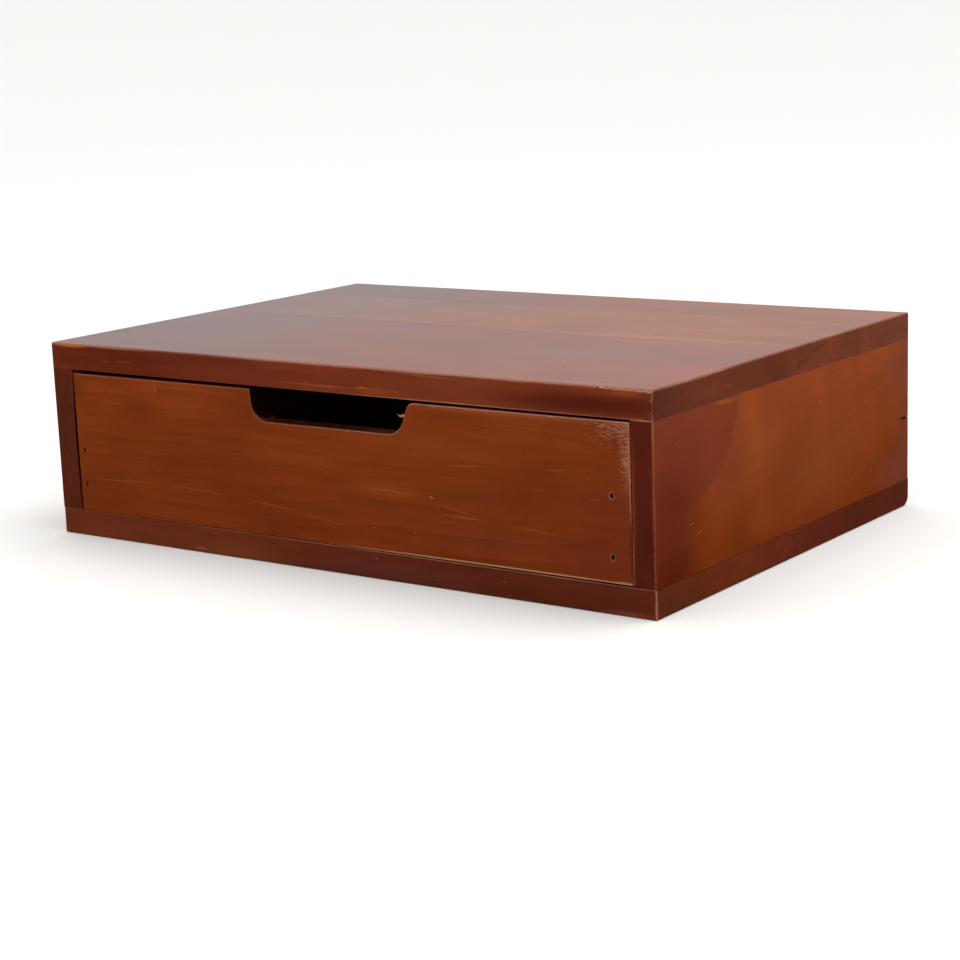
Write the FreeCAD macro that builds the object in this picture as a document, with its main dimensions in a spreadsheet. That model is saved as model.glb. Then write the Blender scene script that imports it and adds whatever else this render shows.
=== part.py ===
import FreeCAD, Part
import Sketcher
import os

# Desktop drawer unit: a low open-fronted box of stained boards with one drawer in it.
# Millimetres. The origin is the middle of the base, X runs to the right, Y to the back and Z up.
# The top and the bottom run over the ends of the two side boards and are each glued up from three
# staves. The drawer front closes the mouth of the box and has a finger cut-out in its top edge.

SIZES = [
    ("case_width", 360, "left to right over the top and bottom boards"),
    ("case_depth", 250, "front to back"),
    ("case_height", 100, "over everything"),
    ("board_thickness", 13.4, "top and bottom boards"),
    ("left_side_thickness", 13, "left side board"),
    ("right_side_thickness", 11.2, "right side board, from thinner stock"),
    ("back_thickness", 13, "board let in between the sides at the back"),
    ("end_overhang", 0.2, "bottom board beyond the top and the right side board"),
    ("top_front_stave", 125, "width of the front stave of the top"),
    ("top_middle_stave", 79, "width of the middle stave of the top"),
    ("bottom_front_stave", 95, "width of the front stave of the bottom"),
    ("bottom_middle_stave", 78, "width of the middle stave of the bottom"),
    ("arris_radius", 1, "hand-sanded outside edges"),
    ("rim_radius", 0.8, "edges of the drawer front's face"),
    ("soft_radius", 5.2, "lower rear edge of the bottom, which was sanded round"),
    ("split_height", 46.3, "split in the right side's rear end, above the base"),
    ("split_length", 9.8, "split, forward from the rear end"),
    ("split_opening", 1.7, "split at its mouth"),
    ("split_reach", 5, "split, in from the outer face"),
    ("front_width", 333.6, "drawer front"),
    ("front_height", 71.25, "drawer front"),
    ("front_thickness", 10, "drawer front"),
    ("front_gap", 1.5, "left of the drawer front"),
    ("front_lift", 0.15, "drawer front's lower left corner above the bottom board"),
    ("front_tilt", 0.12, "degrees by which the drawer front's right end stands high"),
    ("cutout_start", 119.6, "finger cut-out's left lip from the front's left end"),
    ("cutout_top_span", 96, "finger cut-out along the top edge"),
    ("cutout_floor_start", 121.7, "where the left wall would meet the floor, square"),
    ("cutout_floor_span", 87.9, "floor, before its corners are rounded"),
    ("cutout_depth", 15.4, "finger cut-out below the top edge"),
    ("cutout_left_radius", 8.8, "inside corner"),
    ("cutout_right_radius", 9.5, "inside corner"),
    ("cutout_lip_radius", 4.5, "right lip, worn round"),
    ("drawer_length", 235, "front face to the back of the drawer"),
    ("box_inset", 2.6, "drawer box short of the front's right end"),
    ("box_side_thickness", 11, "drawer sides"),
    ("box_back_thickness", 11, "drawer back"),
    ("box_height", 52, "drawer sides"),
    ("running_gap", 0.1, "drawer sides above the bottom board"),
    ("ply_thickness", 3, "drawer bottom"),
    ("ply_height", 6, "underside of the drawer bottom above the drawer sides' lower edge"),
    ("groove_depth", 4, "groove for the drawer bottom"),
    ("brad_length", 30, "overall, 18 gauge"),
    ("short_brad_length", 20, "overall, for the drawer bottom"),
    ("shank_wide", 1.25, "brad shank"),
    ("shank_narrow", 1, "brad shank"),
    ("head_wide", 2.3, "brad head"),
    ("head_narrow", 1.3, "brad head"),
    ("head_deep", 0.6, "brad head along the brad"),
    ("brad_set", 1.2, "head below the surface of the wood"),
    ("left_brad_inset", 4.3, "drawer front's left brads from its left end"),
    ("right_brad_inset", 9.8, "drawer front's right brads from its right end"),
    ("left_brad_low", 27.3, "above the base"),
    ("left_brad_high", 45, "above the base"),
    ("right_brad_low", 25.5, "above the base"),
    ("right_brad_high", 52.8, "above the base"),
    ("box_brad_low", 34, "drawer side to drawer back, above the base"),
    ("box_brad_high", 54, "drawer side to drawer back, above the base"),
    ("front_brad_place", 85, "case brads in the front staves, ahead of the middle"),
    ("top_middle_brad_place", 38, "top brads in the middle stave, behind the middle"),
    ("top_rear_brad_place", 102, "top brads in the rear stave, behind the middle"),
    ("bottom_middle_brad_place", 10, "bottom brads in the middle stave, behind the middle"),
    ("bottom_rear_brad_place", 95, "bottom brads in the rear stave, behind the middle"),
    ("back_brad_spread", 90, "brads into the back board, either side of the middle"),
    ("ply_brad_spread", 60, "drawer bottom brads, one from the next"),
]

doc = FreeCAD.newDocument("desktop_drawer_unit")
sheet = doc.addObject("Spreadsheet::Sheet", "Sizes")
for row, (alias, value, meaning) in enumerate(SIZES, start=1):
    sheet.set(f"A{row}", alias)
    sheet.set(f"B{row}", str(value))
    sheet.set(f"C{row}", meaning)
    sheet.setAlias(f"B{row}", alias)
doc.recompute()


def size(alias):
    """The number in the sheet, for what has to be chosen in code, such as an edge."""
    return float(sheet.get(alias))


def bind(thing, **texts):
    """Ties properties of an object to the sheet. x, y and z are its place."""
    for name, text in texts.items():
        path = "Placement.Base." + name if name in ("x", "y", "z") else name
        thing.setExpression(path, text)


# Faces of the case that the rest is set out from, as sums of the sheet's cells.
LEFT = "(-Sizes.case_width / 2)"
RIGHT = "(Sizes.case_width / 2 - Sizes.end_overhang)"
FRONT = "(-Sizes.case_depth / 2)"
BACK = "(Sizes.case_depth / 2)"
FLOOR = "Sizes.board_thickness"
CEILING = "(Sizes.case_height - Sizes.board_thickness)"
OPENING = "(Sizes.case_height - 2 * Sizes.board_thickness)"
INNER_LEFT = f"({LEFT} + Sizes.left_side_thickness)"
INNER_RIGHT = f"({RIGHT} - Sizes.right_side_thickness)"
BACK_FACE = f"({BACK} - Sizes.back_thickness)"

# Faces of the drawer, closed.
FRONT_LEFT = f"({INNER_LEFT} + Sizes.front_gap)"
BOX_RIGHT = f"({FRONT_LEFT} + Sizes.front_width - Sizes.box_inset)"
BOX_FRONT = f"({FRONT} + Sizes.front_thickness)"
BOX_BACK = f"({FRONT} + Sizes.drawer_length)"
BOX_FLOOR = f"({FLOOR} + Sizes.running_gap)"
BOX_LENGTH = "(Sizes.drawer_length - Sizes.front_thickness)"
INSIDE_LEFT = f"({FRONT_LEFT} + Sizes.box_side_thickness)"
INSIDE_RIGHT = f"({BOX_RIGHT} - Sizes.box_side_thickness)"
PLY_UNDER = f"({BOX_FLOOR} + Sizes.ply_height)"
PLY_OVER = f"({PLY_UNDER} + Sizes.ply_thickness)"


def flat_sketch(body, role, name):
    """A sketch on one of the body's own origin planes."""
    plane = next(feature for feature in body.Origin.OriginFeatures if feature.Role == role)
    sketch = body.newObject("Sketcher::SketchObject", name)
    sketch.AttachmentSupport = [(plane, "")]
    sketch.MapMode = "FlatFace"
    return sketch


def closed_outline(sketch, points):
    """Straight lines round the points, joined end to end."""
    corners = [FreeCAD.Vector(u, v, 0) for u, v in points]
    count = len(corners)
    for index in range(count):
        sketch.addGeometry(Part.LineSegment(corners[index], corners[(index + 1) % count]), False)
    for index in range(count):
        sketch.addConstraint(Sketcher.Constraint("Coincident", index, 2, (index + 1) % count, 1))


def dimension(sketch, kind, line, end, text, name):
    """Holds one end of a line at a distance from the sketch's origin, tied to the sheet."""
    datum = getattr(sketch.Geometry[line], "StartPoint" if end == 1 else "EndPoint")
    value = datum.x if kind == "DistanceX" else datum.y
    sketch.addConstraint(Sketcher.Constraint(kind, -1, 1, line, end, value))
    sketch.renameConstraint(sketch.ConstraintCount - 1, name)
    sketch.setExpression("Constraints." + name, text)


def rectangle(sketch, left, right, low, high):
    """A rectangle held by its four sides, each a sum of the sheet's cells."""
    closed_outline(sketch, [(-1, -1), (1, -1), (1, 1), (-1, 1)])
    for line, kind in enumerate(("Horizontal", "Vertical", "Horizontal", "Vertical")):
        sketch.addConstraint(Sketcher.Constraint(kind, line))
    dimension(sketch, "DistanceX", 0, 1, left, "left")
    dimension(sketch, "DistanceX", 0, 2, right, "right")
    dimension(sketch, "DistanceY", 0, 1, low, "low")
    dimension(sketch, "DistanceY", 2, 1, high, "high")


def board(name, x, y, z, long, wide, thick):
    """A squared board with its lowest left front corner at x, y, z. Returns its body and its pad."""
    body = doc.addObject("PartDesign::Body", name + "_body")
    sketch = flat_sketch(body, "XY_Plane", name + "_outline")
    rectangle(sketch, "0", long, "0", wide)
    pad = body.newObject("PartDesign::Pad", name + "_pad")
    pad.Profile = sketch
    bind(pad, Length=thick)
    bind(body, x=x, y=y, z=z)
    doc.recompute()
    return body, pad


def arris_names(shape, arrises):
    """Edge names for arrises told as the two faces that meet there, such as front upper."""
    bounds = shape.BoundBox
    faces = {
        "left": ("x", bounds.XMin),
        "right": ("x", bounds.XMax),
        "front": ("y", bounds.YMin),
        "rear": ("y", bounds.YMax),
        "under": ("z", bounds.ZMin),
        "upper": ("z", bounds.ZMax),
    }
    names = []
    for arris in arrises:
        planes = [faces[word] for word in arris.split()]
        for index, edge in enumerate(shape.Edges, start=1):
            ends = [vertex.Point for vertex in edge.Vertexes]
            if all(abs(getattr(end, axis) - value) < 1e-6 for end in ends for axis, value in planes):
                names.append(f"Edge{index}")
    return names


def sand(body, feature, **roundings):
    """Rounds arrises of a body, as sandpaper does: for each radius in the sheet, the arrises that
    have it. Returns the last feature."""
    for radius, arrises in roundings.items():
        names = arris_names(feature.Shape, arrises)
        fillet = body.newObject("PartDesign::Fillet", f"{body.Name}_{radius}")
        fillet.Base = (feature, names)
        bind(fillet, Radius="Sizes." + radius)
        feature = fillet
        doc.recompute()
    return feature


def block(name, x, y, z, long, wide, high):
    """A plain block: long along X, wide along Y, high along Z."""
    piece = doc.addObject("Part::Box", name)
    bind(piece, x=x, y=y, z=z, Length=long, Width=wide, Height=high)
    return piece


def group(name, members):
    """Separate solids kept together under one name."""
    gathered = doc.addObject("Part::Compound", name)
    gathered.Links = members
    return gathered


def brads(name, length, places):
    """A group of brads. Each place is where the shank's axis leaves the wood, and the way it points.

    Returns the brads and, for the same places, the mouths that the sunk heads leave in the wood."""
    spans = {"wide": "Sizes.{}_wide", "narrow": "Sizes.{}_narrow"}
    lying = {
        "x": ("along", "wide", "narrow"),
        "y": ("narrow", "along", "wide"),
        "z": ("narrow", "wide", "along"),
    }
    solids = []
    mouths = []
    for index, (x, y, z, way) in enumerate(places, start=1):
        sign = way[0]
        axis = way[1]
        centre = {"x": x, "y": y, "z": z}
        # How far along the brad each part begins and ends, from the surface of the wood.
        head_end = "(Sizes.brad_set + Sizes.head_deep)"
        tip = f"(Sizes.brad_set + {length})"
        stretches = (
            ("mouth", "0", "Sizes.brad_set"),
            ("head", "Sizes.brad_set", head_end),
            ("shank", head_end, tip),
        )
        parts = {}
        for part, near, far in stretches:
            section = "shank" if part == "shank" else "head"
            sizes = []
            corner = {}
            for letter, role in zip("xyz", lying[axis]):
                if role == "along":
                    sizes.append(f"{far} - {near}")
                    start = near if sign == "+" else far
                    corner[letter] = f"{centre[letter]} {sign} {start}"
                else:
                    across = spans[role].format(section)
                    sizes.append(across)
                    corner[letter] = f"{centre[letter]} - {across} / 2"
            parts[part] = block(f"{name}_{part}_{index}", corner["x"], corner["y"], corner["z"], *sizes)
        brad = doc.addObject("Part::Fuse", f"{name}_{index}")
        brad.Base = parts["head"]
        brad.Tool = parts["shank"]
        solids.append(brad)
        mouths.append(parts["mouth"])
    return group(name, solids), group(name + "_mouths", mouths)


def drilled(name, body, tools):
    """The body with the tools taken out of it. One tool or many."""
    cut = doc.addObject("Part::Cut", name)
    cut.Base = body
    cut.Tool = tools[0] if len(tools) == 1 else group(name + "_holes", tools)
    return cut


# Brads through the top, filled over, and through the bottom, left open.
SIDE_PINS = (f"({LEFT} + Sizes.left_side_thickness / 2)", f"({RIGHT} - Sizes.right_side_thickness / 2)")
BACK_PIN = f"({BACK} - Sizes.back_thickness / 2)"


def panel_brads(name, level, way, rows):
    """Brads down or up through a panel into both side boards and into the back board."""
    places = [(x, y, level, way) for x in SIDE_PINS for y in rows]
    places += [(f"({sign}Sizes.back_brad_spread)", BACK_PIN, level, way) for sign in ("-", "")]
    return brads(name, "Sizes.brad_length", places)


FRONT_ROW = "(-Sizes.front_brad_place)"
top_rows = (FRONT_ROW, "Sizes.top_middle_brad_place", "Sizes.top_rear_brad_place")
bottom_rows = (FRONT_ROW, "Sizes.bottom_middle_brad_place", "Sizes.bottom_rear_brad_place")
top_brads, top_mouths = panel_brads("top_brads", "Sizes.case_height", "-z", top_rows)
bottom_brads, bottom_mouths = panel_brads("bottom_brads", "0", "+z", bottom_rows)
back_places = [
    (LEFT, BACK_PIN, "Sizes.split_height", "+x"),
    (RIGHT, BACK_PIN, "Sizes.split_height", "-x"),
]
back_brads, back_mouths = brads("back_board_brads", "Sizes.brad_length", back_places)

# Wood filler in the mouths over the top's brads, as separate plugs.
top_fillings = group("top_brad_fillings", top_mouths.Links)

# The top and the bottom, each of three staves with their grain from side to side.


def top_stave(name, y, wide, **roundings):
    """One stave of the top. Its outside arrises are sanded, and its glued edges are left square."""
    length = "Sizes.case_width - Sizes.end_overhang"
    body, pad = board(name, LEFT, y, CEILING, length, wide, "Sizes.board_thickness")
    sand(body, pad, **roundings)
    return drilled(name, body, [top_brads, top_mouths])


def bottom_stave(name, y, wide, **roundings):
    """One stave of the bottom, made in the same way but a little longer."""
    body, pad = board(name, LEFT, y, "0", "Sizes.case_width", wide, "Sizes.board_thickness")
    sand(body, pad, **roundings)
    return drilled(name, body, [bottom_brads, bottom_mouths])


TOP_MIDDLE = f"({FRONT} + Sizes.top_front_stave)"
TOP_REAR = f"({TOP_MIDDLE} + Sizes.top_middle_stave)"
BOTTOM_MIDDLE = f"({FRONT} + Sizes.bottom_front_stave)"
BOTTOM_REAR = f"({BOTTOM_MIDDLE} + Sizes.bottom_middle_stave)"
UPPER_ENDS = ["left upper", "right upper"]
UNDER_ENDS = ["left under", "right under"]
FRONT_CORNERS = ["front left", "front right"]
REAR_CORNERS = ["rear left", "rear right"]

top_front = top_stave(
    "top_front_stave", FRONT, "Sizes.top_front_stave",
    arris_radius=["front upper"] + UPPER_ENDS + FRONT_CORNERS)
top_middle = top_stave("top_middle_stave", TOP_MIDDLE, "Sizes.top_middle_stave", arris_radius=UPPER_ENDS)
top_rear = top_stave(
    "top_rear_stave", TOP_REAR, f"{BACK} - {TOP_REAR}",
    arris_radius=["rear upper"] + UPPER_ENDS + REAR_CORNERS)
bottom_front = bottom_stave(
    "bottom_front_stave", FRONT, "Sizes.bottom_front_stave",
    arris_radius=["front under"] + UNDER_ENDS + FRONT_CORNERS)
bottom_middle = bottom_stave(
    "bottom_middle_stave", BOTTOM_MIDDLE, "Sizes.bottom_middle_stave", arris_radius=UNDER_ENDS)
bottom_rear = bottom_stave(
    "bottom_rear_stave", BOTTOM_REAR, f"{BACK} - {BOTTOM_REAR}",
    soft_radius=["rear under"], arris_radius=REAR_CORNERS + UNDER_ENDS)

# The sides stand between the top and the bottom. The right one has split along the grain where a
# brad went in close to its rear end.
case_pins = [top_brads, bottom_brads, back_brads, back_mouths]
left_body, left_pad = board(
    "left_side", LEFT, FRONT, FLOOR, "Sizes.left_side_thickness", "Sizes.case_depth", OPENING)
sand(left_body, left_pad, arris_radius=["front left", "rear left"])
left_side = drilled("left_side", left_body, case_pins)

right_body, right_pad = board(
    "right_side", INNER_RIGHT, FRONT, FLOOR, "Sizes.right_side_thickness", "Sizes.case_depth", OPENING)
right_sanded = sand(right_body, right_pad, arris_radius=["front right", "rear right"])

split = flat_sketch(right_body, "YZ_Plane", "split_outline")
split.setExpression("AttachmentOffset.Base.z", "Sizes.right_side_thickness")
closed_outline(split, [(240, 32), (251, 31), (251, 33)])
SPLIT_LEVEL = f"Sizes.split_height - {FLOOR}"
SPLIT_MOUTH = "Sizes.case_depth"
dimension(split, "DistanceX", 0, 1, "Sizes.case_depth - Sizes.split_length", "tip")
dimension(split, "DistanceY", 0, 1, SPLIT_LEVEL, "tip_level")
dimension(split, "DistanceX", 1, 1, SPLIT_MOUTH, "lower_mouth")
dimension(split, "DistanceY", 1, 1, f"{SPLIT_LEVEL} - Sizes.split_opening / 2", "lower_level")
dimension(split, "DistanceX", 2, 1, SPLIT_MOUTH, "upper_mouth")
dimension(split, "DistanceY", 2, 1, f"{SPLIT_LEVEL} + Sizes.split_opening / 2", "upper_level")
doc.recompute()
whole_side = right_sanded.Shape.Volume
split_pocket = right_body.newObject("PartDesign::Pocket", "split_pocket")
split_pocket.Profile = split
bind(split_pocket, Length="Sizes.split_reach")
doc.recompute()
print("split takes", round(whole_side - split_pocket.Shape.Volume, 2), "mm3")
right_side = drilled("right_side", right_body, case_pins)

back_body, back_pad = board(
    "back_board", INNER_LEFT, BACK_FACE, FLOOR,
    f"{INNER_RIGHT} - {INNER_LEFT}", "Sizes.back_thickness", OPENING)
back_board = drilled("back_board", back_body, [top_brads, bottom_brads, back_brads])

# The drawer front, set a little out of level, with the finger cut-out in its top edge.
front_body = doc.addObject("PartDesign::Body", "drawer_front_body")
front_body.Placement.Rotation = FreeCAD.Rotation(FreeCAD.Vector(0, -1, 0), size("front_tilt"))
bind(front_body, x=FRONT_LEFT, y=FRONT, z=f"{FLOOR} + Sizes.front_lift")
front_body.setExpression("Placement.Rotation.Angle", "Sizes.front_tilt")
front_outline = flat_sketch(front_body, "XZ_Plane", "drawer_front_outline")
rectangle(front_outline, "0", "Sizes.front_width", "0", "Sizes.front_height")
front_pad = front_body.newObject("PartDesign::Pad", "drawer_front_pad")
front_pad.Profile = front_outline
front_pad.Reversed = True
bind(front_pad, Length="Sizes.front_thickness")

cutout = flat_sketch(front_body, "XZ_Plane", "cutout_outline")
closed_outline(cutout, [(120, 71), (122, 56), (209, 56), (217, 71)])
CUTOUT_FLOOR = "Sizes.front_height - Sizes.cutout_depth"
dimension(cutout, "DistanceX", 0, 1, "Sizes.cutout_start", "left_lip")
dimension(cutout, "DistanceY", 0, 1, "Sizes.front_height", "left_lip_level")
dimension(cutout, "DistanceX", 1, 1, "Sizes.cutout_floor_start", "floor_left")
dimension(cutout, "DistanceY", 1, 1, CUTOUT_FLOOR, "floor_left_level")
dimension(cutout, "DistanceX", 2, 1, "Sizes.cutout_floor_start + Sizes.cutout_floor_span", "floor_right")
dimension(cutout, "DistanceY", 2, 1, CUTOUT_FLOOR, "floor_right_level")
dimension(cutout, "DistanceX", 3, 1, "Sizes.cutout_start + Sizes.cutout_top_span", "right_lip")
dimension(cutout, "DistanceY", 3, 1, "Sizes.front_height", "right_lip_level")
doc.recompute()
plain_front = front_pad.Shape.Volume
cutout_pocket = front_body.newObject("PartDesign::Pocket", "cutout_pocket")
cutout_pocket.Profile = cutout
cutout_pocket.Type = "ThroughAll"
cutout_pocket.Midplane = True
doc.recompute()
print("cut-out takes", round(plain_front - cutout_pocket.Shape.Volume), "mm3")


def edge_through(shape, u, v):
    """The name of the edge that runs front to back through the point u, v of the outline."""
    for index, edge in enumerate(shape.Edges, start=1):
        ends = [vertex.Point for vertex in edge.Vertexes]
        if all(abs(end.x - u) < 0.01 and abs(end.z - v) < 0.01 for end in ends):
            return f"Edge{index}"
    raise ValueError(f"no edge through {u}, {v}")


def soften(feature, u, v, radius):
    """Rounds one corner of the front's outline."""
    fillet = front_body.newObject("PartDesign::Fillet", radius + "_fillet")
    fillet.Base = (feature, [edge_through(feature.Shape, u, v)])
    bind(fillet, Radius="Sizes." + radius)
    doc.recompute()
    return fillet


floor_level = size("front_height") - size("cutout_depth")
floor_left = size("cutout_floor_start")
floor_right = floor_left + size("cutout_floor_span")
right_lip = size("cutout_start") + size("cutout_top_span")
left_corner = soften(cutout_pocket, floor_left, floor_level, "cutout_left_radius")
right_corner = soften(left_corner, floor_right, floor_level, "cutout_right_radius")
lip_corner = soften(right_corner, right_lip, size("front_height"), "cutout_lip_radius")

# Only the face's lower edge is left square.
low_edge = arris_names(lip_corner.Shape, ["front under"])
other_edges = [name for name in arris_names(lip_corner.Shape, ["front"]) if name not in low_edge]
face_rim = front_body.newObject("PartDesign::Fillet", "face_rim")
face_rim.Base = (lip_corner, other_edges)
bind(face_rim, Radius="Sizes.rim_radius")
doc.recompute()

# The drawer box: two grooved sides, a back between them and a plywood bottom in the grooves.


def grooved_side(name, x, groove_from):
    """A drawer side with a groove along its inner face for the bottom."""
    body, pad = board(
        name, x, BOX_FRONT, BOX_FLOOR,
        "Sizes.box_side_thickness", BOX_LENGTH, "Sizes.box_height")
    sanded = sand(body, pad, arris_radius=["left upper", "right upper"])
    section = flat_sketch(body, "XZ_Plane", name + "_groove_section")
    rectangle(
        section, groove_from, f"{groove_from} + Sizes.groove_depth",
        "Sizes.ply_height", "Sizes.ply_height + Sizes.ply_thickness")
    groove = body.newObject("PartDesign::Pocket", name + "_groove")
    groove.Profile = section
    groove.Type = "ThroughAll"
    groove.Midplane = True
    doc.recompute()
    print(name, "groove takes", round(sanded.Shape.Volume - groove.Shape.Volume), "mm3")
    return body


left_box_body = grooved_side("drawer_left_side", FRONT_LEFT, "Sizes.box_side_thickness - Sizes.groove_depth")
right_box_body = grooved_side("drawer_right_side", INSIDE_RIGHT, "0")

box_back_body, box_back_pad = board(
    "drawer_back", INSIDE_LEFT, f"{BOX_BACK} - Sizes.box_back_thickness", PLY_OVER,
    f"{INSIDE_RIGHT} - {INSIDE_LEFT}", "Sizes.box_back_thickness",
    f"{BOX_FLOOR} + Sizes.box_height - {PLY_OVER}")
sand(box_back_body, box_back_pad, arris_radius=["front upper", "rear upper"])

ply_body, ply_pad = board(
    "drawer_bottom", f"{INSIDE_LEFT} - Sizes.groove_depth", BOX_FRONT, PLY_UNDER,
    f"{INSIDE_RIGHT} - {INSIDE_LEFT} + 2 * Sizes.groove_depth", BOX_LENGTH, "Sizes.ply_thickness")

left_pin = f"({FRONT_LEFT} + Sizes.left_brad_inset)"
right_pin = f"({FRONT_LEFT} + Sizes.front_width - Sizes.right_brad_inset)"
left_front_brads, left_front_mouths = brads("left_front_brads", "Sizes.brad_length", [
    (left_pin, FRONT, "Sizes.left_brad_low", "+y"),
    (left_pin, FRONT, "Sizes.left_brad_high", "+y"),
])
right_front_brads, right_front_mouths = brads("right_front_brads", "Sizes.brad_length", [
    (right_pin, FRONT, "Sizes.right_brad_low", "+y"),
    (right_pin, FRONT, "Sizes.right_brad_high", "+y"),
])
box_back_pin = f"({BOX_BACK} - Sizes.box_back_thickness / 2)"
box_back_brads, box_back_mouths = brads("drawer_back_brads", "Sizes.brad_length", [
    (x, box_back_pin, level, way)
    for x, way in ((FRONT_LEFT, "+x"), (BOX_RIGHT, "-x"))
    for level in ("Sizes.box_brad_low", "Sizes.box_brad_high")
])
ply_brads, ply_mouths = brads("drawer_bottom_brads", "Sizes.short_brad_length", [
    (f"({step} * Sizes.ply_brad_spread)", box_back_pin, PLY_UNDER, "+z") for step in (-2, -1, 0, 1, 2)
])

drawer_front = drilled(
    "drawer_front", front_body,
    [left_front_brads, left_front_mouths, right_front_brads, right_front_mouths])
drawer_left = drilled(
    "drawer_left_side", left_box_body, [left_front_brads, box_back_brads, box_back_mouths])
drawer_right = drilled(
    "drawer_right_side", right_box_body, [right_front_brads, box_back_brads, box_back_mouths])
drawer_back = drilled("drawer_back", box_back_body, [box_back_brads, ply_brads])
drawer_bottom = drilled("drawer_bottom", ply_body, [ply_brads, ply_mouths])

SUB_PARTS = {
    "top_front_stave": top_front,
    "top_middle_stave": top_middle,
    "top_rear_stave": top_rear,
    "bottom_front_stave": bottom_front,
    "bottom_middle_stave": bottom_middle,
    "bottom_rear_stave": bottom_rear,
    "left_side": left_side,
    "right_side": right_side,
    "back_board": back_board,
    "top_brads": top_brads,
    "top_brad_fillings": top_fillings,
    "bottom_brads": bottom_brads,
    "back_board_brads": back_brads,
    "drawer_front": drawer_front,
    "drawer_left_side": drawer_left,
    "drawer_right_side": drawer_right,
    "drawer_back": drawer_back,
    "drawer_bottom": drawer_bottom,
    "left_front_brads": left_front_brads,
    "right_front_brads": right_front_brads,
    "drawer_back_brads": box_back_brads,
    "drawer_bottom_brads": ply_brads,
}

doc.recompute()
for name, thing in SUB_PARTS.items():
    thing.Label = name
failed = [thing.Name for thing in doc.Objects if {"Invalid", "Error"} & set(thing.State)]
failed += [name for name, thing in SUB_PARTS.items() if thing.Shape.isNull() or not thing.Shape.isValid()]
if failed:
    raise RuntimeError(f"these did not build: {failed}")

os.makedirs("parts", exist_ok=True)
for name, thing in SUB_PARTS.items():
    thing.Shape.exportStep(f"parts/{name}.step")
    box = thing.Shape.BoundBox
    print(f"{name}: {len(thing.Shape.Solids)} solids, {thing.Shape.Volume / 1000:.2f} cm3,",
          f"x {box.XMin:.2f} to {box.XMax:.2f}, y {box.YMin:.2f} to {box.YMax:.2f},",
          f"z {box.ZMin:.2f} to {box.ZMax:.2f}")
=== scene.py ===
# %% [markdown]
# # A desktop drawer unit, from boards to finish
#
# This lesson dresses a small wooden box with one drawer. The sizes were settled before, in a packed
# model of plain solids, and here each board gets what a plain solid lacks: edges that were sanded by
# hand and knocked about, nail holes with a dent round them, wood that runs through the board from
# face to end grain, and a stain under a satin lacquer.
#
# Everything is in metres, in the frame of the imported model: X runs to the right, Y to the back and
# Z up, and the origin is the middle of the base. Places in wood are told in millimetres.

# %% Load the measured frame
import math
import random
from types import SimpleNamespace

import bmesh
import bpy
from mathutils import Matrix, Vector, noise


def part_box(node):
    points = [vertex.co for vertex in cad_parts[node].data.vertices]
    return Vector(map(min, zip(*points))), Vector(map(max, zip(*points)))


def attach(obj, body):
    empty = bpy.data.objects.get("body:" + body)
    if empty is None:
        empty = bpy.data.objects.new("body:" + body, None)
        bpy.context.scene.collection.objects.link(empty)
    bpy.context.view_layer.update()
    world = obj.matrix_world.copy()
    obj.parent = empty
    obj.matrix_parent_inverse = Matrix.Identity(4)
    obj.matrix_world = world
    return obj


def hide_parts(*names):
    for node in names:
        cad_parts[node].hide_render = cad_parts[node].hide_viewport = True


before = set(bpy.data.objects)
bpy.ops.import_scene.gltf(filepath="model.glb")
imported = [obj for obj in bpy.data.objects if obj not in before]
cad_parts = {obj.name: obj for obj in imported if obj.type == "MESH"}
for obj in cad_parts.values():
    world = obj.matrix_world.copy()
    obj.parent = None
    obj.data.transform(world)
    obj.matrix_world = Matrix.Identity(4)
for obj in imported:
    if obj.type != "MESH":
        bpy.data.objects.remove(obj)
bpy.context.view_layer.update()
MM = 0.001

# %% [markdown]
# ## The camera
#
# The viewpoint was worked out from the straight edges of the box: it stands a good metre away to the
# front right, a little above the lid, with a long lens, and it leans by about two degrees. A camera
# can be aimed with a Track To constraint, but that gives no lean, so its three axes are built here
# from the compass angle, the height angle and the lean.

# %% Place the camera
EYE = Vector((0.651235, -0.892986, 0.257474))
COMPASS = math.radians(36.2007)
HEIGHT = math.radians(12.1146)
LEAN = math.radians(-2.1972)
LENS_MM = 81.889
SENSOR_MM = 36.0

backward = Vector((
    math.sin(COMPASS) * math.cos(HEIGHT),
    -math.cos(COMPASS) * math.cos(HEIGHT),
    math.sin(HEIGHT),
))
level = (-backward).cross(Vector((0, 0, 1))).normalized()
upward = level.cross(-backward)
across_picture = level * math.cos(LEAN) + upward * math.sin(LEAN)
up_picture = upward * math.cos(LEAN) - level * math.sin(LEAN)
turn = Matrix((across_picture, up_picture, backward)).transposed()

lens = bpy.data.cameras.new("studio_camera")
lens.lens = LENS_MM
lens.sensor_width = SENSOR_MM
lens.clip_start = 0.05
camera = bpy.data.objects.new("studio_camera", lens)
camera.matrix_world = Matrix.Translation(EYE) @ turn.to_4x4()
bpy.context.scene.collection.objects.link(camera)
bpy.context.scene.camera = camera
print("camera to middle of box:", round((EYE - Vector((0, 0, 0.05))).length, 3), "m")

# %% [markdown]
# ## Colours and nodes
#
# Colours are easiest to compare with a picture as sRGB hex values, but a renderer adds up light in
# linear values. One function turns one into the other. A second function adds a node, sets its
# options and its inputs, and links an input that is given as a node or a socket, so that every
# material below is a short list of calls. A third starts a material with no nodes in it.

# %% Three helpers for materials
def tone(code):
    """Linear colour of an sRGB hex value such as #6E2F12."""
    shares = [int(code[start:start + 2], 16) / 255 for start in (1, 3, 5)]
    linear = [share / 12.92 if share <= 0.04045 else ((share + 0.055) / 1.055) ** 2.4 for share in shares]
    return (*linear, 1.0)


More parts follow.
